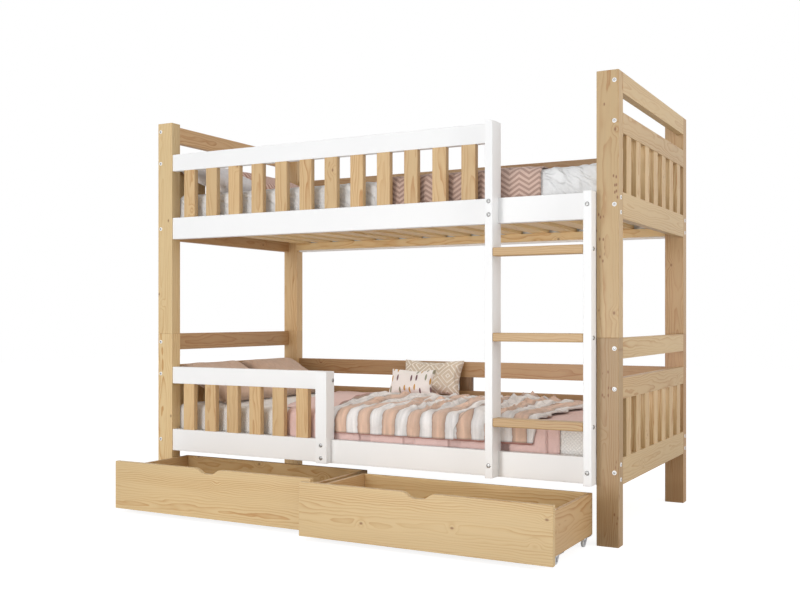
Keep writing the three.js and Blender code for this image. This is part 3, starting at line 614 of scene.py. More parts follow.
# Profiles of radius and height above the wood
cap = turned_mesh("bolt_cap", [(0.0036, -0.0004), (0.0036, 0.0012), (0.0048, 0.0017), (0.0066, 0.0014),
                               (0.0076, 0.0006), (0.0078, -0.0004), (0.0036, -0.0004)])
head = turned_mesh("bolt_head", [(0, -0.0004), (0.0046, -0.0004), (0.0046, 0.0010), (0.0040, 0.0015),
                                 (0.0024, 0.0016), (0.0020, 0.0012), (0.0020, 0.0002), (0, 0.0002)])
button = turned_mesh("button_head", [(0, -0.0004), (0.0078, -0.0004), (0.0078, 0.0005), (0.0068, 0.0017),
                                     (0.0048, 0.0026), (0.0036, 0.0026), (0.0034, 0.0006), (0, 0.0006)])
heads("post_bolt_caps", cap, cap_nylon, post_spots, "bed_frame")
heads("post_bolt_heads", head, zinc, post_spots, "bed_frame")
heads("ladder_bolt_heads", button, zinc, white_spots, "bed_frame")

# Drawers

NOTCH_HALF, NOTCH_DEEP, NOTCH_END = 0.065, 0.019, 0.0546
DRAWER_WALL = 0.015
FLOOR_GROOVE, FLOOR_THICK, FLOOR_SHORT = 0.006, 0.005, 0.009
CAP_INSET, CAP_HEIGHTS = 0.014, (0.060, 0.130)
PLATE_HALF, PLATE_THICK, PLATE_BELOW, PLATE_SEAT, PLATE_EASED = 0.018, 0.003, 0.002, 0.001, 0.0006
CROWN_RADIUS = 0.009
TRAIL, WHEEL_RADIUS = 0.014, 0.013
CHEEK_ROUND, CHEEKS_X = 0.0055, ((-0.0074, -0.0059), (0.0059, 0.0074))


def drawer_outline(x, z):
    """The front with a shallow hand notch in its top edge, in Z and X."""
    curve = []
    for i in range(13):
        t = i / 12
        # A cubic curve that leaves the top edge level and reaches the notch's floor level
        along = -NOTCH_HALF + NOTCH_END * (1.5 * t * (1 - t) + t ** 3)
        curve.append((z[1] - NOTCH_DEEP * t * t * (3 - 2 * t), along))
    other = [(high, -along) for high, along in reversed(curve)]
    notch = [(high, middle(x) + along) for high, along in curve + other]
    return [(z[0], x[0]), (z[1], x[0]), *notch, (z[1], x[1]), (z[0], x[1])]


def caster(side, place, x, y):
    """A swivel caster: a fork with two cheeks that trail back to the axle, and its wheel."""
    fork_node, wheel_node = f"{side}_fork_{place}", f"{side}_wheel_{place}"
    at_axle = Matrix.Translation((x, y - TRAIL, WHEEL_RADIUS)) @ Matrix.Rotation(math.pi / 2, 4, "Y")
    shape = bmesh.new()
    # Each cheek is a rounded plate, seen from the side: over the axle, up to the crown
    turns = [math.pi * (0.95 + i / 8) for i in range(9)]
    outline = [(-TRAIL + CHEEK_ROUND * math.cos(t), WHEEL_RADIUS + CHEEK_ROUND * math.sin(t)) for t in turns]
    outline += [(0.0062, 0.0268), (0.0078, 0.0310), (-0.0078, 0.0310)]
    for cheek in CHEEKS_X:
        prism(shape, [[(x + at, y + a, b) for a, b in outline] for at in cheek])
    bmesh.ops.recalc_face_normals(shape, faces=shape.faces)
    cheeks = len(shape.faces)
    crown = turned_mesh("crown", [(0, 0.0312), (0.0078, 0.0312), (CROWN_RADIUS, 0.0320),
                                  (CROWN_RADIUS, 0.0332), (0.0080, 0.0337), (0.0030, 0.0337),
                                  (0.0030, 0.0357), (0, 0.0357)])
    crown.transform(Matrix.Translation((x, y, 0)))
    axle = turned_mesh("axle", [(0, -0.0082), (0.0026, -0.0080), (0.0026, -0.0072), (0.0020, -0.0072),
                                (0.0020, 0.0072), (0.0026, 0.0072), (0.0026, 0.0080), (0, 0.0082)])
    axle.transform(at_axle)
    for mesh in (crown, axle):
        shape.from_mesh(mesh)
    fork = mesh_from(shape, fork_node + "_moulding")
    smoothed(fork, flat_faces=cheeks)
    fork.set_sharp_from_angle(angle=SHARP)
    place_mesh(fork.name, fork, fork_nylon, fork_node, [fork_node])
    # One half of the tyre's section, from the bore over the rim to the tread, and its mirror image
    half = [(0.0024, 0.0050), (0.0042, 0.0050), (0.0048, 0.0038), (0.0088, 0.0038), (0.0096, 0.0048),
            (0.0116, 0.0050), (0.0128, 0.0038), (WHEEL_RADIUS, 0.0020)]
    section = [(radius, -height) for radius, height in half] + half[::-1]
    wheel = turned_mesh(wheel_node + "_tyre", section + section[:1], 40)
    wheel.transform(at_axle)
    place_mesh(wheel.name, wheel, wheel_plastic, wheel_node, [wheel_node])


def drawer(side):
    body, nodes = f"{side}_drawer", [f"{side}_drawer_box"]
    name = f"{side}_drawer_face"
    x, (front, inner_front), z = node_spans(f"{side}_drawer_front")
    mesh = board_mesh(name, "y", drawer_outline(x, z), (front, inner_front))
    # The front is glued up from boards that lie along X, so its grain is stored again that way
    for old in ("grain", "tone"):
        mesh.attributes.remove(mesh.attributes[old])
    store_grain(mesh, "x", name)
    place_mesh(name, mesh, pine, body, [f"{side}_drawer_front"])
    x, (_, back), (plates_low, top) = node_spans(nodes[0])
    tall = (plates_low + PLATE_BELOW, top)
    for hand, wall in (("left", (x[0], x[0] + DRAWER_WALL)), ("right", (x[1] - DRAWER_WALL, x[1]))):
        board(f"{side}_drawer_side_{hand}", "y", wall, (inner_front, back), tall, body=body, nodes=nodes)
    inner = inset(x, DRAWER_WALL)
    board(f"{side}_drawer_back", "x", inner, (back - DRAWER_WALL, back), tall, body=body, nodes=nodes)
    board(f"{side}_drawer_floor", "x", inset(inner, -FLOOR_GROOVE), (inner_front, back - FLOOR_SHORT),
          (tall[0], tall[0] + FLOOR_THICK), body=body, nodes=nodes, edge=0)
    caps = [((end, inner_front + CAP_INSET, height), (way, 0, 0))
            for height in CAP_HEIGHTS for end, way in ((x[0], -1), (x[1], 1))]
    screw_cap = turned_mesh("screw_cap", [(0, -0.0004), (0.0050, -0.0004), (0.0049, 0.0006), (0.0036, 0.0011),
                                          (0, 0.0013)])
    heads(f"{side}_drawer_screw_caps", screw_cap, cap_nylon, caps, body)
    plates = []
    for place in [f"{row}_{hand}" for row in FACES for hand in SIDES]:
        fork_x, (_, crown_back), _ = node_spans(f"{side}_fork_{place}")
        spot = (middle(fork_x), crown_back - CROWN_RADIUS)
        plates.append(((*spot, tall[0] + PLATE_SEAT), (0, 0, -1)))
        caster(side, place, *spot)
    corners = [(-PLATE_HALF, -PLATE_HALF), (PLATE_HALF, -PLATE_HALF), (PLATE_HALF, PLATE_HALF),
               (-PLATE_HALF, PLATE_HALF)]
    plate = board_mesh("caster_plate", "z", corners, (0.0, PLATE_THICK), PLATE_EASED)
    heads(f"{side}_caster_plates", plate, zinc, plates, body)


for side in SIDES:
    drawer(side)

# Cloths

# Measures on the flat cloths: a hem, a stripe and how far its border wanders, a zigzag's run and
# band, half a diamond and the step between its cords
HEM = 0.0035
STRIPE, STRIPE_WANDER = 0.053, 0.0015
CHEVRON, BAND = 0.037, 0.0095
DIAMOND, CORD_STEP = 0.053, 0.0120


def cloth_material(name, colours, pattern=None, thread=0.0022, relief=0.0006, pucker=0.0, depth=0.03,
                   gloss=0.0, wrinkle=0.0):
    """Woven or knitted cloth. The cloth attribute gives the place on the flat piece in metres, and
    its distance from the nearest hem, so that the pattern follows every fold. Threads are drawn
    about three times as coarse as real ones, so that they show."""
    made, tree = new_material(name)
    place = add(tree, "Attribute", {"attribute_name": "cloth"}, out=1)
    parts = add(tree, "SeparateXYZ", inputs={0: place}, out=None).outputs
    # Warp and weft: each thread a small hump, over and under in turn
    turns = math.pi / thread
    threads = [add(tree, "Math", TIMES, {0: parts[axis], 1: turns}) for axis in ("X", "Y")]
    warp, weft = [add(tree, "Math", SINE, {0: turn}) for turn in threads]
    weave = add(tree, "Math", TIMES, {0: warp, 1: weft})
    flat = add(tree, "VectorMath", TIMES, {0: place, 1: (1.0, 1.0, 0.0)})
    slub = add(tree, "TexNoise", inputs={"Vector": flat, "Scale": 210.0, "Detail": 3.0})
    cloud = add(tree, "TexNoise", inputs={"Vector": flat, "Scale": 9.0, "Detail": 2.0})
    ground = linear(colours[0])
    raised = None
    if pattern:
        ground, raised = pattern(tree, parts, flat, [linear(c) for c in colours])
    shade = add(tree, "MapRange", inputs={0: weave, 1: -1.0, 2: 1.0, 3: 1.0 - depth, 4: 1.0 + depth * 0.6})
    worn = add(tree, "MapRange", inputs={0: cloud, **NOISE_SPAN, 3: 0.965, 4: 1.03})
    speck = add(tree, "MapRange", inputs={0: slub, **NOISE_SPAN, 3: 0.97, 4: 1.03})
    shades = [worn, speck]
    if wrinkle:
        # Soft creases some 40 mm apart, aslant, that hold a little shade, as the seam does
        aslant = add(tree, "VectorRotate", {"rotation_type": "Z_AXIS"}, {"Vector": flat, "Angle": 0.6})
        long = add(tree, "VectorMath", TIMES, {0: aslant, 1: (15.0, 30.0, 0.0)})
        wave = add(tree, "TexNoise", inputs={"Vector": long, "Scale": 1.0, "Detail": 2.0, "Distortion": 0.5})
        fold = add(tree, "MapRange", SMOOTH, {0: wave, 1: 0.36, 2: 0.64})
        held = add(tree, "MapRange", inputs={0: fold, 3: 0.93, 4: 1.0})
        seam = add(tree, "MapRange", inputs={0: parts["Z"], 1: 0.0, 2: 0.014, 3: 0.72, 4: 1.0})
        shades += [held, seam]
    value = shade
    for share in shades:
        value = add(tree, "Math", TIMES, {0: value, 1: share})
    toned = add(tree, "HueSaturation", inputs={"Value": value, "Color": ground})
    height = add(tree, "Math", PLUS, {0: weave, 1: slub})
    bumps = [(0.35, relief, height)]
    if pucker:
        # Crinkles some 12 mm apart, longer along the stripe than across it
        stretched = add(tree, "VectorMath", TIMES, {0: flat, 1: (85.0, 38.0, 0.0)})
        crinkle = add(tree, "TexNoise", inputs={"Vector": stretched, "Scale": 1.0, "Detail": 2.0})
        bumps.append((1.0, pucker, crinkle))
    if wrinkle:
        bumps.append((1.0, wrinkle, fold))
    if raised:
        bumps.append((0.8, 0.002, raised))
    below = {}
    for strength, distance, height in bumps:
        values = {"Strength": strength, "Distance": distance, "Height": height}
        bump = add(tree, "Bump", inputs={**values, **below})
        below = {"Normal": bump}
    rough = add(tree, "MapRange", inputs={0: slub, **NOISE_SPAN, 3: 0.84 - gloss, 4: 0.94 - gloss})
    surface(tree, {"Base Color": toned, "Roughness": rough, "Normal": bump, "Sheen Weight": 0.25,
                   "Sheen Roughness": 0.5, "Specular IOR Level": 0.25 + gloss})
    return made


def stripes(tree, parts, flat, colours):
    """Broad peach and pale grey stripes, 53 mm each, with a thin rust line at each border and a hem."""
    wave = add(tree, "Math", TO_AND_FRO, {0: parts["X"], 1: STRIPE})
    wavy = add(tree, "TexNoise", inputs={"Vector": flat, "Scale": 40.0, "Detail": 1.0})
    edge = add(tree, "MapRange", inputs={0: wavy, **NOISE_SPAN, 3: STRIPE / 2 - STRIPE_WANDER,
                                         4: STRIPE / 2 + STRIPE_WANDER})
    side = add(tree, "Math", ABOVE, {0: wave, 1: edge})
    broad = add(tree, "Mix", BLEND, {0: side, 6: colours[0], 7: colours[1]}, out=2)
    off_edge = add(tree, "Math", MINUS, {0: wave, 1: edge})
    gap = add(tree, "Math", DISTANCE, {0: off_edge})
    thin = add(tree, "MapRange", inputs={0: gap, 1: 0.0016, 2: 0.0006, 3: 0.0, 4: 0.75})
    lined = add(tree, "Mix", BLEND, {0: thin, 6: broad, 7: colours[2]}, out=2)
    # The puffed stripes get painted shade towards the sewn lines, and painted shade and painted highlight in
    # the small folds along them
    small = add(tree, "VectorMath", TIMES, {0: flat, 1: (62.0, 9.0, 0.0)})
    fold = add(tree, "TexNoise", inputs={"Vector": small, "Scale": 1.0, "Detail": 1.0})
    along = add(tree, "MapRange", inputs={0: fold, **NOISE_SPAN, 3: 0.80, 4: 1.07})
    seam_shade = add(tree, "MapRange", SMOOTH, {0: gap, 1: 0.0, 2: 0.015, 3: 0.78, 4: 1.0})
    # On the bed the cloth lies in loose folds, and their valleys hold a deep shade
    loose = add(tree, "VectorMath", TIMES, {0: flat, 1: (19.0, 13.0, 0.0)})
    heap = add(tree, "TexNoise", inputs={"Vector": loose, "Scale": 1.0, "Detail": 2.0, "Distortion": 0.7})
    off_middle = add(tree, "Math", MINUS, {0: heap, 1: 0.5})
    away = add(tree, "Math", DISTANCE, {0: off_middle})
    valley = add(tree, "MapRange", SMOOTH, {0: away, 1: 0.0, 2: 0.07, 3: 0.80, 4: 1.02})
    front = add(tree, "MapRange", SMOOTH, {0: parts["Y"], 1: 0.56, 2: 0.70})
    valley = add(tree, "Mix", {"data_type": "FLOAT"}, {0: front, 2: valley, 3: 1.0})
    shade = along
    for share in (seam_shade, valley):
        shade = add(tree, "Math", TIMES, {0: shade, 1: share})
    lined = add(tree, "HueSaturation", inputs={"Value": shade, "Color": lined})
    # Beside each hem and at the open fold the cloth turns away from the light
    turn = add(tree, "MapRange", SMOOTH, {0: parts["Z"], 1: HEM, 2: 0.011, 3: 0.6})
    lined = add(tree, "HueSaturation", inputs={"Value": turn, "Color": lined})
    stitched = add(tree, "Math", {"operation": "LESS_THAN"}, {0: parts["Z"], 1: HEM})
    return add(tree, "Mix", BLEND, {0: stitched, 6: lined, 7: colours[3]}, out=2), None


def chevrons(tree, parts, flat, colours):
    """Knitted zigzags: two shades in bands 9 mm tall, rising and falling every 37 mm."""
    zigzag = add(tree, "Math", TO_AND_FRO, {0: parts["X"], 1: CHEVRON})
    slope = add(tree, "Math", SCALE_ADD, {0: zigzag, 1: 0.62, 2: parts["Y"]})
    band = add(tree, "Math", TO_AND_FRO, {0: slope, 1: BAND})
    dark = add(tree, "MapRange", inputs={0: band, 1: 0.0042, 2: 0.0053})
    return add(tree, "Mix", BLEND, {0: dark, 6: colours[0], 7: colours[1]}, out=2), band


def diamond_cords(tree, parts, flat, colours):
    """Cream cords tufted on linen in nested diamonds, 106 mm from one to the next."""
    shifted = [add(tree, "Math", PLUS, {0: parts[axis], 1: DIAMOND}) for axis in ("X", "Y")]
    across, up = [add(tree, "Math", TO_AND_FRO, {0: place, 1: DIAMOND}) for place in shifted]
    away = add(tree, "Math", PLUS, {0: across, 1: up})
    ring = add(tree, "Math", TO_AND_FRO, {0: away, 1: CORD_STEP})
    cord = add(tree, "MapRange", SMOOTH, {0: ring, 1: 0.0050, 2: 0.0030})
    return add(tree, "Mix", BLEND, {0: cord, 6: colours[0], 7: colours[1]}, out=2), cord


def sewn_dots(tree, parts, flat, colours):
    """Short upright dashes of three colours, some 18 mm long, sewn on white cotton."""
    long = add(tree, "VectorMath", TIMES, {0: flat, 1: (38.0, 19.0, 0.0)})
    cell = add(tree, "TexVoronoi", FLAT_CELLS, {"Vector": long, "Scale": 1.0, "Randomness": 0.4},
               out=None).outputs
    apart = add(tree, "VectorMath", MINUS, {0: long, 1: cell["Position"]})
    shape = add(tree, "VectorMath", TIMES, {0: apart, 1: (1.3, 0.75, 0.0)})
    reach = add(tree, "VectorMath", LENGTH, {0: shape}, out=1)
    patch = add(tree, "MapRange", SMOOTH, {0: reach, 1: 0.26, 2: 0.2})
    lot = add(tree, "SeparateColor", inputs={0: cell["Color"]}, out=0)
    kept = add(tree, "Math", ABOVE, {0: lot, 1: 0.42})
    drawn = add(tree, "Math", TIMES, {0: patch, 1: kept})
    ramp = add(tree, "ValToRGB", inputs={0: lot}, out=None)
    ramp.color_ramp.interpolation = "CONSTANT"
    for spot, colour in zip((0.62, 0.84), colours[2:]):
        ramp.color_ramp.elements.new(spot).color = colour
    ramp.color_ramp.elements[0].color = colours[1]
    ramp.color_ramp.elements[-1].color = colours[3]
    return add(tree, "Mix", BLEND, {0: drawn, 6: colours[0], 7: ramp.outputs[0]}, out=2), drawn


white_cotton = cloth_material("white_cotton_sheet", ["#F3F3F2"], pucker=0.0015, wrinkle=0.006)
grey_jersey = cloth_material("pale_grey_knit", ["#F0EDE8"], thread=0.0066, relief=0.003, depth=0.12)
pink_cotton = cloth_material("pink_washed_cotton", ["#E8C7BF"], pucker=0.004)
striped_cotton = cloth_material("striped_crinkled_cotton", ["#E0BDA5", "#F1EDEA", "#A8715A", "#B27E72"],
                                stripes, pucker=0.005, gloss=0.25)
chevron_knit = cloth_material("chevron_knit", ["#D4B8A9", "#AE9184"], chevrons, thread=0.004, relief=0.0015)
dusty_cotton = cloth_material("dusty_beige_cotton", ["#D2B49D"], wrinkle=0.003)
lavender_cotton = cloth_material("pale_grey_cotton", ["#F3ECE8"], pucker=0.002, wrinkle=0.003)
pink_knit = cloth_material("pink_chevron_knit", ["#E6C3B0", "#B5806C"], chevrons, thread=0.004, relief=0.0015)
corded_linen = cloth_material("corded_linen", ["#D2C4B0", "#F4EDE2"], diamond_cords, thread=0.003)
dotted_cotton = cloth_material("dotted_white_cotton", ["#F6F3F0", "#CFA258", "#9C9E88", "#75565D"], sewn_dots)

# Soft pieces

# Blender's vector noise starts from the clock unless it is given a seed, and the folds follow it
FOLD_SEED = 1795883205
noise.seed_set(FOLD_SEED)
# The mattresses' rounded edges, and the cells of their sheets along X, Y and Z
MATTRESS_ROUND = 0.030
MATTRESS_CELLS = (150, 70, 12)


def smooth_step(low, high, value):
    share = min(max((value - low) / (high - low), 0.0), 1.0)
    return share * share * (3 - 2 * share)


def crease(x, y, seed):
    """Soft creases between 0 and 1 that run in changing directions."""
    drift = noise.noise_vector(Vector((x * 0.7, y * 0.7, seed)))
    value = noise.noise(Vector((x + drift.x * 1.3, y * 0.55 + drift.y * 1.3, seed + 9.0)))
    return max(0.0, 1.0 - 2.6 * abs(value)) ** 1.6


def lump(x, y, seed):
    return noise.noise(Vector((x, y, seed)))


def mesh_of(name, points, faces, cloth):
    """A smooth mesh whose cloth attribute holds each point's place on the flat piece."""
    mesh = bpy.data.meshes.new(name)
    mesh.from_pydata(points, [], faces)
    store(mesh, "cloth", cloth)
    smoothed(mesh)
    return mesh


def mattress(level, relief, finish, node):
    """A foam mattress in a fitted sheet: soft round edges, and creases that relief gives."""
    spans = node_spans(node)
    half = Vector([(high - low) / 2 for low, high in spans])
    centre = Vector([middle(span) for span in spans])
    top, radius = spans[2][1], MATTRESS_ROUND
    shape = bmesh.new()
    bmesh.ops.create_cube(shape, size=2.0)
    for axis, count in enumerate(MATTRESS_CELLS):
        across = [e for e in shape.edges
                  if abs(abs((e.verts[0].co - e.verts[1].co)[axis]) - 2.0) < 1e-6]
        bmesh.ops.subdivide_edges(shape, edges=across, cuts=count - 1, use_grid_fill=True)
    shape.normal_update()
    cloth = []
    for v in shape.verts:
        on_top, below, behind = v.co.z > 0, v.co.z < -0.999, v.co.y > 0
        on_side = abs(v.co.y) > 0.999 or abs(v.co.x) > 0.999
        full = Vector((v.co.x * half.x, v.co.y * half.y, v.co.z * half.z))
        core = Vector([max(-half[i] + radius, min(half[i] - radius, full[i])) for i in range(3)])
        out = full - core
        rounded = out.length > 0
        if rounded:
            out = out.normalized()
            full = core + out * radius
        at = full + centre
        depth = relief(at.x, at.y, at.z - top) if (rounded or on_top) and not below else 0.0
        over = top - at.z if on_side else 0.0
        cloth.append((at.x, at.y + (over if behind else -over), 1.0))
        v.co = at + out * depth
    mesh = mesh_from(shape, level + "_fitted_mattress")
    store(mesh, "cloth", cloth)
    smoothed(mesh)
    made = place_mesh(level + "_fitted_mattress", mesh, finish, "bed_frame", [node])
    return made


def upper_relief(x, y, z):
    """A loosely tucked sheet: creases 4 to 5 mm deep, deeper towards the front right corner."""
    loose = 0.5 + 0.5 * smooth_step(0.3, 0.75, x)
    share = loose * (1.0 if z > -0.05 else 1.1)
    long = 0.0055 * crease(x * 8 + z * 6, (y - z) * 6, 3.0)
    short = 0.0040 * crease(x * 15 + z * 14, (y - z) * 13, 7.0)
    return share * (long + 0.004 * lump(x * 5, (y - z) * 5, 1.0) + short) - 0.005


def lower_relief(x, y, z):
    return 0.0022 * crease(x * 7, (y - z) * 7, 5.0) + 0.0015 * lump(x * 6, (y - z) * 6, 2.0) - 0.002


mattress("upper", upper_relief, white_cotton, "upper_mattress")
mattress("lower", lower_relief, grey_jersey, "lower_mattress")


class Edge:
    """The way of a cloth from the back over the front edge and down to its hem."""

    def __init__(self, back, front, top, hem, radius):
        self.back, self.front, self.top, self.radius = back, front, top, radius
        self.flat = back - front - radius
        self.turn = radius * math.pi / 2
        self.whole = self.flat + self.turn + top - radius - hem

    def at(self, way):
        """Point (y, z), outward (y, z) and how far over the edge, for a length along the way."""
        if way <= self.flat:
            return self.back - way, self.top, 0.0, 1.0, 0.0
        if way <= self.flat + self.turn:
            angle = (way - self.flat) / self.radius
            out_y, out_z = -math.sin(angle), math.cos(angle)
            return (self.front + self.radius * (1 + out_y), self.top - self.radius * (1 - out_z),
                    out_y, out_z, angle / (math.pi / 2))
        down = way - self.flat - self.turn
        return self.front, self.top - self.radius - down, -1.0, 0.0, 1.0


def spread(start, end, step):
    count = max(2, round((end - start) / step))
    return [start + (end - start) * i / count for i in range(count + 1)]


def draped(name, way, across, steps, lift, side=None, skip=None, printed=None, folded=False):
    """One layer of cloth on a way. side moves the ends in or out along the way, lift raises it,
    printed says where in the pattern a point lies, and a folded layer has no hem on its left."""
    points, cloth = [], []
    for v in steps:
        y, z, out_y, out_z, fall = way.at(v)
        for u in across:
            x = side(u, v, fall) if side else u
            high = lift(x, v, fall)
            points.append((x, y + out_y * high, z + out_z * high))
            left = u - across[0] + (HEM if folded else 0.0)
            hem = min(left, v - steps[0], steps[-1] - v)
            cloth.append((printed(x, v, fall) if printed else u, v, hem))
    wide = len(across)
    faces = []
    for j in range(len(steps) - 1):
        for i in range(wide - 1):
            if skip and skip(across[i], steps[j]):
                continue
            a = j * wide + i
            faces.append((a, a + wide, a + wide + 1, a + 1))
    mesh = mesh_of(name, points, faces, cloth)
    shape = bmesh.new()
    shape.from_mesh(mesh)
    loose = [v for v in shape.verts if not v.link_faces]
    bmesh.ops.delete(shape, geom=loose, context="VERTS")
    shape.to_mesh(mesh)
    shape.free()
    return mesh


def cloth_piece(name, mesh, finish, thick, nodes):
    """Gives the layer its thickness."""
    made = place_mesh(name, mesh, finish, "bed_frame", nodes)
    body = made.modifiers.new("thickness", "SOLIDIFY")
    body.thickness = thick
    body.offset = -1.0
    body.use_even_offset = True
    return made


lower_top, upper_top = [node_spans(f"{level}_mattress")[2][1] for level in LEVELS]
mattress_front = node_spans("lower_mattress")[1][0]
STEP = 0.011

# The pink coverlet: box pleats down its front, which ends before the right corner of the mattress
(COVERLET_LEFT, PLEAT_RIGHT), (_, coverlet_back), (coverlet_hem, _) = node_spans("coverlet")
PLEAT_PITCH, PLEAT_WIDE = 0.190, 0.050
FRONT_RIGHT = 0.768
coverlet_way = Edge(back=coverlet_back, front=mattress_front - 0.0012, top=lower_top + 0.001,
                    hem=coverlet_hem, radius=0.030)


def in_pleat(x):
    start = (PLEAT_RIGHT - x) % PLEAT_PITCH
    edge = min(start - (PLEAT_PITCH - PLEAT_WIDE), PLEAT_PITCH - start)
    return smooth_step(-0.001, 0.003, edge)


def coverlet_lift(x, v, fall):
    crinkle = 0.0016 * lump(x * 30, v * 14, 4.0) + 0.0018 * crease(x * 14, v * 12, 2.0)
    pleat = fall * (0.0085 * (1 - in_pleat(x)) - 0.001)
    return 0.0035 + crinkle + pleat + (1 - fall) * 0.001 * lump(x * 6, v * 6, 8.0)


def coverlet_side(u, v, fall):
    """The left edge lies aslant: the further back, the further to the left."""
    left = 1 - smooth_step(COVERLET_LEFT, 0.0, u)
    back = max(0.0, 1 - v / coverlet_way.flat)
    return u - 0.30 * back ** 0.6 * left


pleat_edges = [PLEAT_RIGHT - PLEAT_PITCH * i + d for i in range(1, 7)
               for d in (-0.001, 0.002, 0.003, PLEAT_WIDE - 0.003, PLEAT_WIDE - 0.002, PLEAT_WIDE + 0.001)]
coverlet_across = sorted(spread(COVERLET_LEFT, PLEAT_RIGHT, STEP) + [x for x in pleat_edges if x > -0.36])
coverlet_steps = spread(0.0, coverlet_way.whole, STEP)
turned = coverlet_way.flat + coverlet_way.turn
cloth_piece("pink_coverlet",
            draped("pink_coverlet", coverlet_way, coverlet_across, coverlet_steps, coverlet_lift,
                   coverlet_side, skip=lambda u, v: u > FRONT_RIGHT and v > turned - 0.012),
            pink_cotton, 0.002, ["coverlet"])

# The striped duvet: one layer, with its right end folded back over it as a second one
(DUVET_LEFT, DUVET_RIGHT), (_, duvet_back), (duvet_hem, _) = node_spans("duvet")
duvet_way = Edge(back=duvet_back, front=mattress_front - 0.0155, top=lower_top + 0.009,
                 hem=duvet_hem, radius=0.045)
DUVET_STEPS = (0.006, 0.0075)


def stripe_place(x, v, fall):
    """Place across the stripes, which wander more on top than down the front."""
    loose = 0.3 + 0.7 * (1 - fall)
    return x + loose * (0.020 * lump(x * 4, v * 5, 31.0) + 0.011 * lump(x * 9, v * 15, 33.0))


def duvet_base(x, v, fall):
    """Swells in the middle of the bed. Each stripe puffs up between two sewn lines."""
    share = v / duvet_way.whole
    along = (x - DUVET_LEFT) / (DUVET_RIGHT - DUVET_LEFT)
    swell = math.sin(math.pi * min(share * 1.25, 1.0)) ** 1.5
    billow = 0.020 * swell * (0.5 + 0.5 * math.sin(along * 9.4 + share * 4 + 0.6))
    puff = abs(math.cos(math.pi * stripe_place(x, v, fall) / STRIPE)) ** 0.8
    broken = 1.15 * (1.0 + (0.8 - 0.5 * fall) * lump(x * 15, v * 17, 35.0))
    inner = 1 - 0.85 * smooth_step(duvet_way.flat - 0.10, duvet_way.flat + 0.02, v)
    rough = inner * (0.012 * crease(x * 10, v * 7, 6.0) + 0.007 * (0.5 + lump(x * 13, v * 12, 3.0)))
    calm = 1 - 0.85 * smooth_step(0.84, 0.97, along)
    return 0.002 + 0.0062 * puff * broken * (0.5 + 0.5 * calm) + (billow * (1 - fall) + rough) * calm


def ruffle(v, fall):
    """How far the folded right end moves in and out. Down the front it draws in."""
    drawn_in = 0.020 * smooth_step(duvet_way.flat + 0.03, duvet_way.whole, v)
    return (0.012 * math.sin(v * 34.0) - 0.005) * (1 - 0.9 * fall) - drawn_in


def duvet_side(u, v, fall):
    """The left hem wanders outwards towards the back, and the right one ruffles."""
    share = v / duvet_way.whole
    left = 1 - smooth_step(DUVET_LEFT, DUVET_LEFT + 0.25, u)
    right = smooth_step(DUVET_RIGHT - 0.2, DUVET_RIGHT, u)
    flare = -0.045 * math.sin(math.pi * min(1.0, (1 - share) * 1.2)) * left
    return u + flare + ruffle(v, fall) * right


duvet_across = spread(DUVET_LEFT, DUVET_RIGHT, DUVET_STEPS[0])
duvet_steps = spread(0.0, duvet_way.whole, DUVET_STEPS[1])
cloth_piece("striped_duvet",
            draped("striped_duvet", duvet_way, duvet_across, duvet_steps, duvet_base, duvet_side,
                   printed=stripe_place),
            striped_cotton, 0.003, ["duvet"])

FOLD = 0.385
FLAP_PAST = 0.005


def flap_lift(x, v, fall):
    """Lies on the first layer, stands off it at its left edge, and closes over it at the right end."""
    roll = 1 - smooth_step(0.0, 0.035, x - FOLD - 0.055 * (1 - fall))
    open_edge = 0.014 * roll * (1 - 0.5 * fall)
    own = 0.006 * crease(x * 11, v * 7, 12.0) * (1 - 0.7 * fall) * (1 - 0.8 * smooth_step(0.6, 0.7, x))
    end = DUVET_RIGHT + FLAP_PAST + ruffle(v, fall)
    closed = smooth_step(end - 0.008, end, x)
    return duvet_base(x, v, fall) + 0.0045 - 0.0065 * closed + open_edge + own


def flap_side(u, v, fall):
    left = 1 - smooth_step(FOLD, FOLD + 0.2, u)
    right = smooth_step(DUVET_RIGHT - 0.2, DUVET_RIGHT, u)
    return u + 0.058 * left * (1 - fall) + ruffle(v, fall) * right


flap_across = spread(FOLD, DUVET_RIGHT + FLAP_PAST, DUVET_STEPS[0])
flap_steps = spread(0.03, duvet_way.whole - 0.004, DUVET_STEPS[1])
cloth_piece("duvet_flap",
            draped("duvet_flap", duvet_way, flap_across, flap_steps, flap_lift, flap_side,
                   printed=stripe_place, folded=True),
            striped_cotton, 0.003, ["duvet"])

# The chevron blanket on the upper bunk, tucked behind the front rail
(BLANKET_LEFT, BLANKET_RIGHT), (_, blanket_back), (blanket_hem, _) = node_spans("blanket")
BLANKET_STEP = 0.010
blanket_way = Edge(back=blanket_back, front=mattress_front - 0.0035, top=upper_top + 0.001,
                   hem=blanket_hem, radius=0.032)


def blanket_lift(x, v, fall):
    share = v / blanket_way.whole
    along = (x - BLANKET_LEFT) / (BLANKET_RIGHT - BLANKET_LEFT)
    billow = 0.007 * math.sin(math.pi * share) * (0.5 + 0.5 * math.sin(share * 6 + along * 4))
    folds = 0.004 * crease(x * 7, v * 5, 21.0) + 0.002 * lump(x * 9, v * 8, 2.0)
    calm = 1 - 0.9 * smooth_step(0.86, 0.98, along)
    return 0.0050 + (billow * (1 - fall) + folds * (1 - 0.4 * fall)) * calm


cloth_piece("chevron_blanket",
            draped("chevron_blanket", blanket_way, spread(BLANKET_LEFT, BLANKET_RIGHT, BLANKET_STEP),
                   spread(0.0, blanket_way.whole, BLANKET_STEP), blanket_lift),
            chevron_knit, 0.004, ["blanket"])

# Pillows and cushions


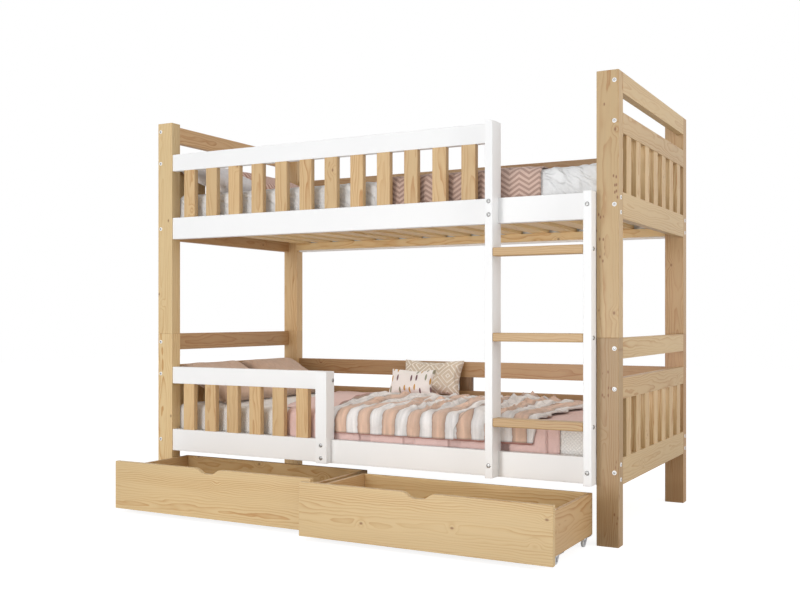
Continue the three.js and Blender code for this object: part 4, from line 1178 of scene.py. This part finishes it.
def stuffed_mesh(name, tall, wide, crown, step):
    """Two squares of cloth sewn at their edges, with sides that pull in between the corners."""
    rows, columns = round(tall / step), round(wide / step)
    points, cloth, places = [], [], {}
    for side in (1, -1):
        for i in range(rows + 1):
            for j in range(columns + 1):
                rim = i in (0, rows) or j in (0, columns)
                if rim and side < 0:
                    places[side, i, j] = places[1, i, j]
                    continue
                u, v = 2 * i / rows - 1, 2 * j / columns - 1
                full = math.sqrt(max(0.0, (1 - u ** 4) * (1 - v ** 4)))
                x = u * (1 - 0.06 * (1 - v * v)) * tall / 2
                y = v * (1 - 0.06 * (1 - u * u)) * wide / 2
                z = side * crown / 2 * full ** 0.9
                z += side * full * 0.0025 * lump(x * 16, y * 16, len(name) + side)
                places[side, i, j] = len(points)
                points.append((x, y, z))
                cloth.append((u * tall / 2, v * wide / 2, min(1 - abs(u), 1 - abs(v)) * tall / 2))
    faces = []
    for side in (1, -1):
        for i in range(rows):
            for j in range(columns):
                ring = [places[side, i, j], places[side, i + 1, j],
                        places[side, i + 1, j + 1], places[side, i, j + 1]]
                faces.append(ring if side > 0 else ring[::-1])
    return mesh_of(name, points, faces, cloth)


def puffed(mesh, cap, force=4.0, frames=20):
    """Blows the sewn form up as cloth for 20 frames. No point moves further than the cap."""
    scene = bpy.context.scene
    bag = linked("bag", mesh)
    modifier = bag.modifiers.new("cloth", "CLOTH")
    modifier.settings.use_pressure = True
    modifier.settings.uniform_pressure_force = force
    modifier.settings.effector_weights.gravity = 0
    modifier.settings.tension_stiffness = 20
    modifier.settings.bending_stiffness = 0.3
    modifier.point_cache.frame_start = 1
    modifier.point_cache.frame_end = frames
    for frame_number in range(1, frames + 1):
        scene.frame_set(frame_number)
    blown = bag.evaluated_get(bpy.context.evaluated_depsgraph_get()).data
    moved = []
    for before, after in zip(mesh.vertices, blown.vertices):
        step = after.co - before.co
        if step.length > cap:
            step *= cap / step.length
        moved.append(before.co + step)
    bpy.data.objects.remove(bag)
    for v, place in zip(mesh.vertices, moved):
        v.co = place
    scene.frame_set(1)


def settled(mesh, lean, axis, against, ground, across):
    """Leans the piece, and sets it on the ground with its far edge against a wall."""
    mesh.transform(Matrix.Rotation(lean, 4, axis))
    spans = mesh_spans(mesh)
    if axis == "Y":
        move = Vector((against - spans[0][0], across - middle(spans[1]), ground - spans[2][0]))
    else:
        move = Vector((across, against - spans[1][1], ground - spans[2][0]))
    mesh.transform(Matrix.Translation(move))


def cushion(name, finish, slot, nodes, wide, tall, crown, cap, place, fill, step=0.008):
    mesh = stuffed_mesh(name, tall, wide, crown, step)
    puffed(mesh, cap)
    settled(mesh, **place)
    made = place_mesh(name, mesh, finish, "bed_frame", nodes)
    finer = made.modifiers.new("finer", "SUBSURF")
    finer.levels = finer.render_levels = 1
    return made


# A pillow's height, crown, and how far the puffing may move its points
PILLOW = (0.300, 0.078, 0.006)
wall = node_spans("lower_end_panel_left")[0][1] + 0.0005
for hand, across in (("front", -0.012), ("rear", 0.410)):
    place = {"lean": 0.51, "axis": "Y", "against": wall + 0.014, "ground": lower_top + 0.001,
             "across": across}
    cushion(f"lower_pillow_{hand}", dusty_cotton, "dusty_pink_cotton", ["lower_pillows"], 0.400, *PILLOW,
            place, 0.6)
for hand, across, wide, finish, slot in (("front", -0.064, 0.284, lavender_cotton, "grey_cotton"),
                                         ("rear", 0.356, 0.500, pink_knit, "chevron_knit")):
    place = {"lean": 0.40, "axis": "Y", "against": wall, "ground": upper_top + 0.001, "across": across}
    cushion(f"upper_pillow_{hand}_filled", finish, slot, [f"upper_pillow_{hand}"], wide, *PILLOW, place, 0.6)
for name, finish, slot, wide, tall, crown, cap, against, across in (
        ("corded_cushion", corded_linen, "beige_linen", 0.180, 0.318, 0.058, 0.012, 0.6625, -0.144),
        ("dotted_cushion", dotted_cotton, "white_sheet", 0.132, 0.235, 0.042, 0.008, 0.591, -0.219)):
    place = {"lean": 1.22, "axis": "X", "against": against, "ground": lower_top + 0.0065, "across": across}
    cushion(name, finish, slot, ["cushions"], wide, tall, crown, cap, place, 0.8, 0.005)

# Camera, light and floor

camera_data = bpy.data.cameras.new("camera")
camera_data.lens = 45.29
camera_data.sensor_width = 36
camera_data.sensor_fit = "HORIZONTAL"
camera_data.shift_y = 0.02226
camera = linked("camera", camera_data)
camera.location = (1.9604, -3.5611, 0.76418)
camera.rotation_euler = (math.radians(90), 0, math.radians(28.596))
bpy.context.scene.camera = camera


def lamp(name, place, target, size, power, spread=180):
    """A soft lamp of width and height in metres that shines at its target."""
    data = bpy.data.lights.new(name, "AREA")
    data.shape = "RECTANGLE"
    data.size, data.size_y = size
    data.energy = power
    data.spread = math.radians(spread)
    made = linked(name, data)
    made.location = place
    made.rotation_euler = (Vector(target) - Vector(place)).to_track_quat("-Z", "Y").to_euler()
    made.visible_camera = False


lamp("key", (-2.6, -8.0, 4.0), (0, 0, 0.5), (3.6, 3.6), 122)
lamp("low", (-1.0, -5.6, 0.4), (0, -0.3, 0.1), (1.2, 0.8), 26, 100)
lamp("side", (4.3, -0.9, 1.4), (0.9, 0.2, 0.8), (2.4, 2.4), 56)
lamp("under", (0.0, 0.15, 1.07), (0.0, 0.15, 0.0), (1.7, 0.6), 2.6)

world = bpy.data.worlds.new("studio")
bpy.context.scene.world = world
world.use_nodes = True
sky = world.node_tree
sky.nodes.clear()
path = add(sky, "LightPath", out=None).outputs
seen = path["Is Camera Ray"]
for ray in ("Is Glossy Ray", "Is Transmission Ray"):
    seen = add(sky, "Math", {"operation": "MAXIMUM"}, {0: seen, 1: path[ray]})
soft = add(sky, "Background", inputs={"Color": linear("#F6F7FA"), "Strength": 0.6})
white = add(sky, "Background", inputs={"Color": (1, 1, 1, 1), "Strength": 1.0})
lit_world = add(sky, "MixShader", inputs={0: seen, 1: soft, 2: white})
add(sky, "OutputWorld", inputs={"Surface": lit_world})

FLOOR = 12
floor_mesh = bpy.data.meshes.new("studio_floor")
floor_corners = [(-FLOOR, -FLOOR, 0), (FLOOR, -FLOOR, 0), (FLOOR, FLOOR, 0), (-FLOOR, FLOOR, 0)]
floor_mesh.from_pydata(floor_corners, [], [(0, 1, 2, 3)])
floor = linked("studio_floor", floor_mesh)
floor_paper, tree = new_material("white_paper_floor")
path = add(tree, "LightPath", out=None).outputs
matt = add(tree, "BsdfDiffuse", inputs={"Color": linear("#EFEFEF")})
trace = add(tree, "BsdfDiffuse", inputs={"Color": linear("#A6A6A6")})
glow = add(tree, "Emission", inputs={"Color": (1, 1, 1, 1), "Strength": 0.86})
lit = add(tree, "AddShader", inputs={0: trace, 1: glow})
shown = add(tree, "MixShader", inputs={0: path["Is Camera Ray"], 1: matt, 2: lit})
add(tree, "OutputMaterial", inputs={"Surface": shown})
floor_mesh.materials.append(floor_paper)

bpy.context.scene.view_settings.view_transform = "Standard"
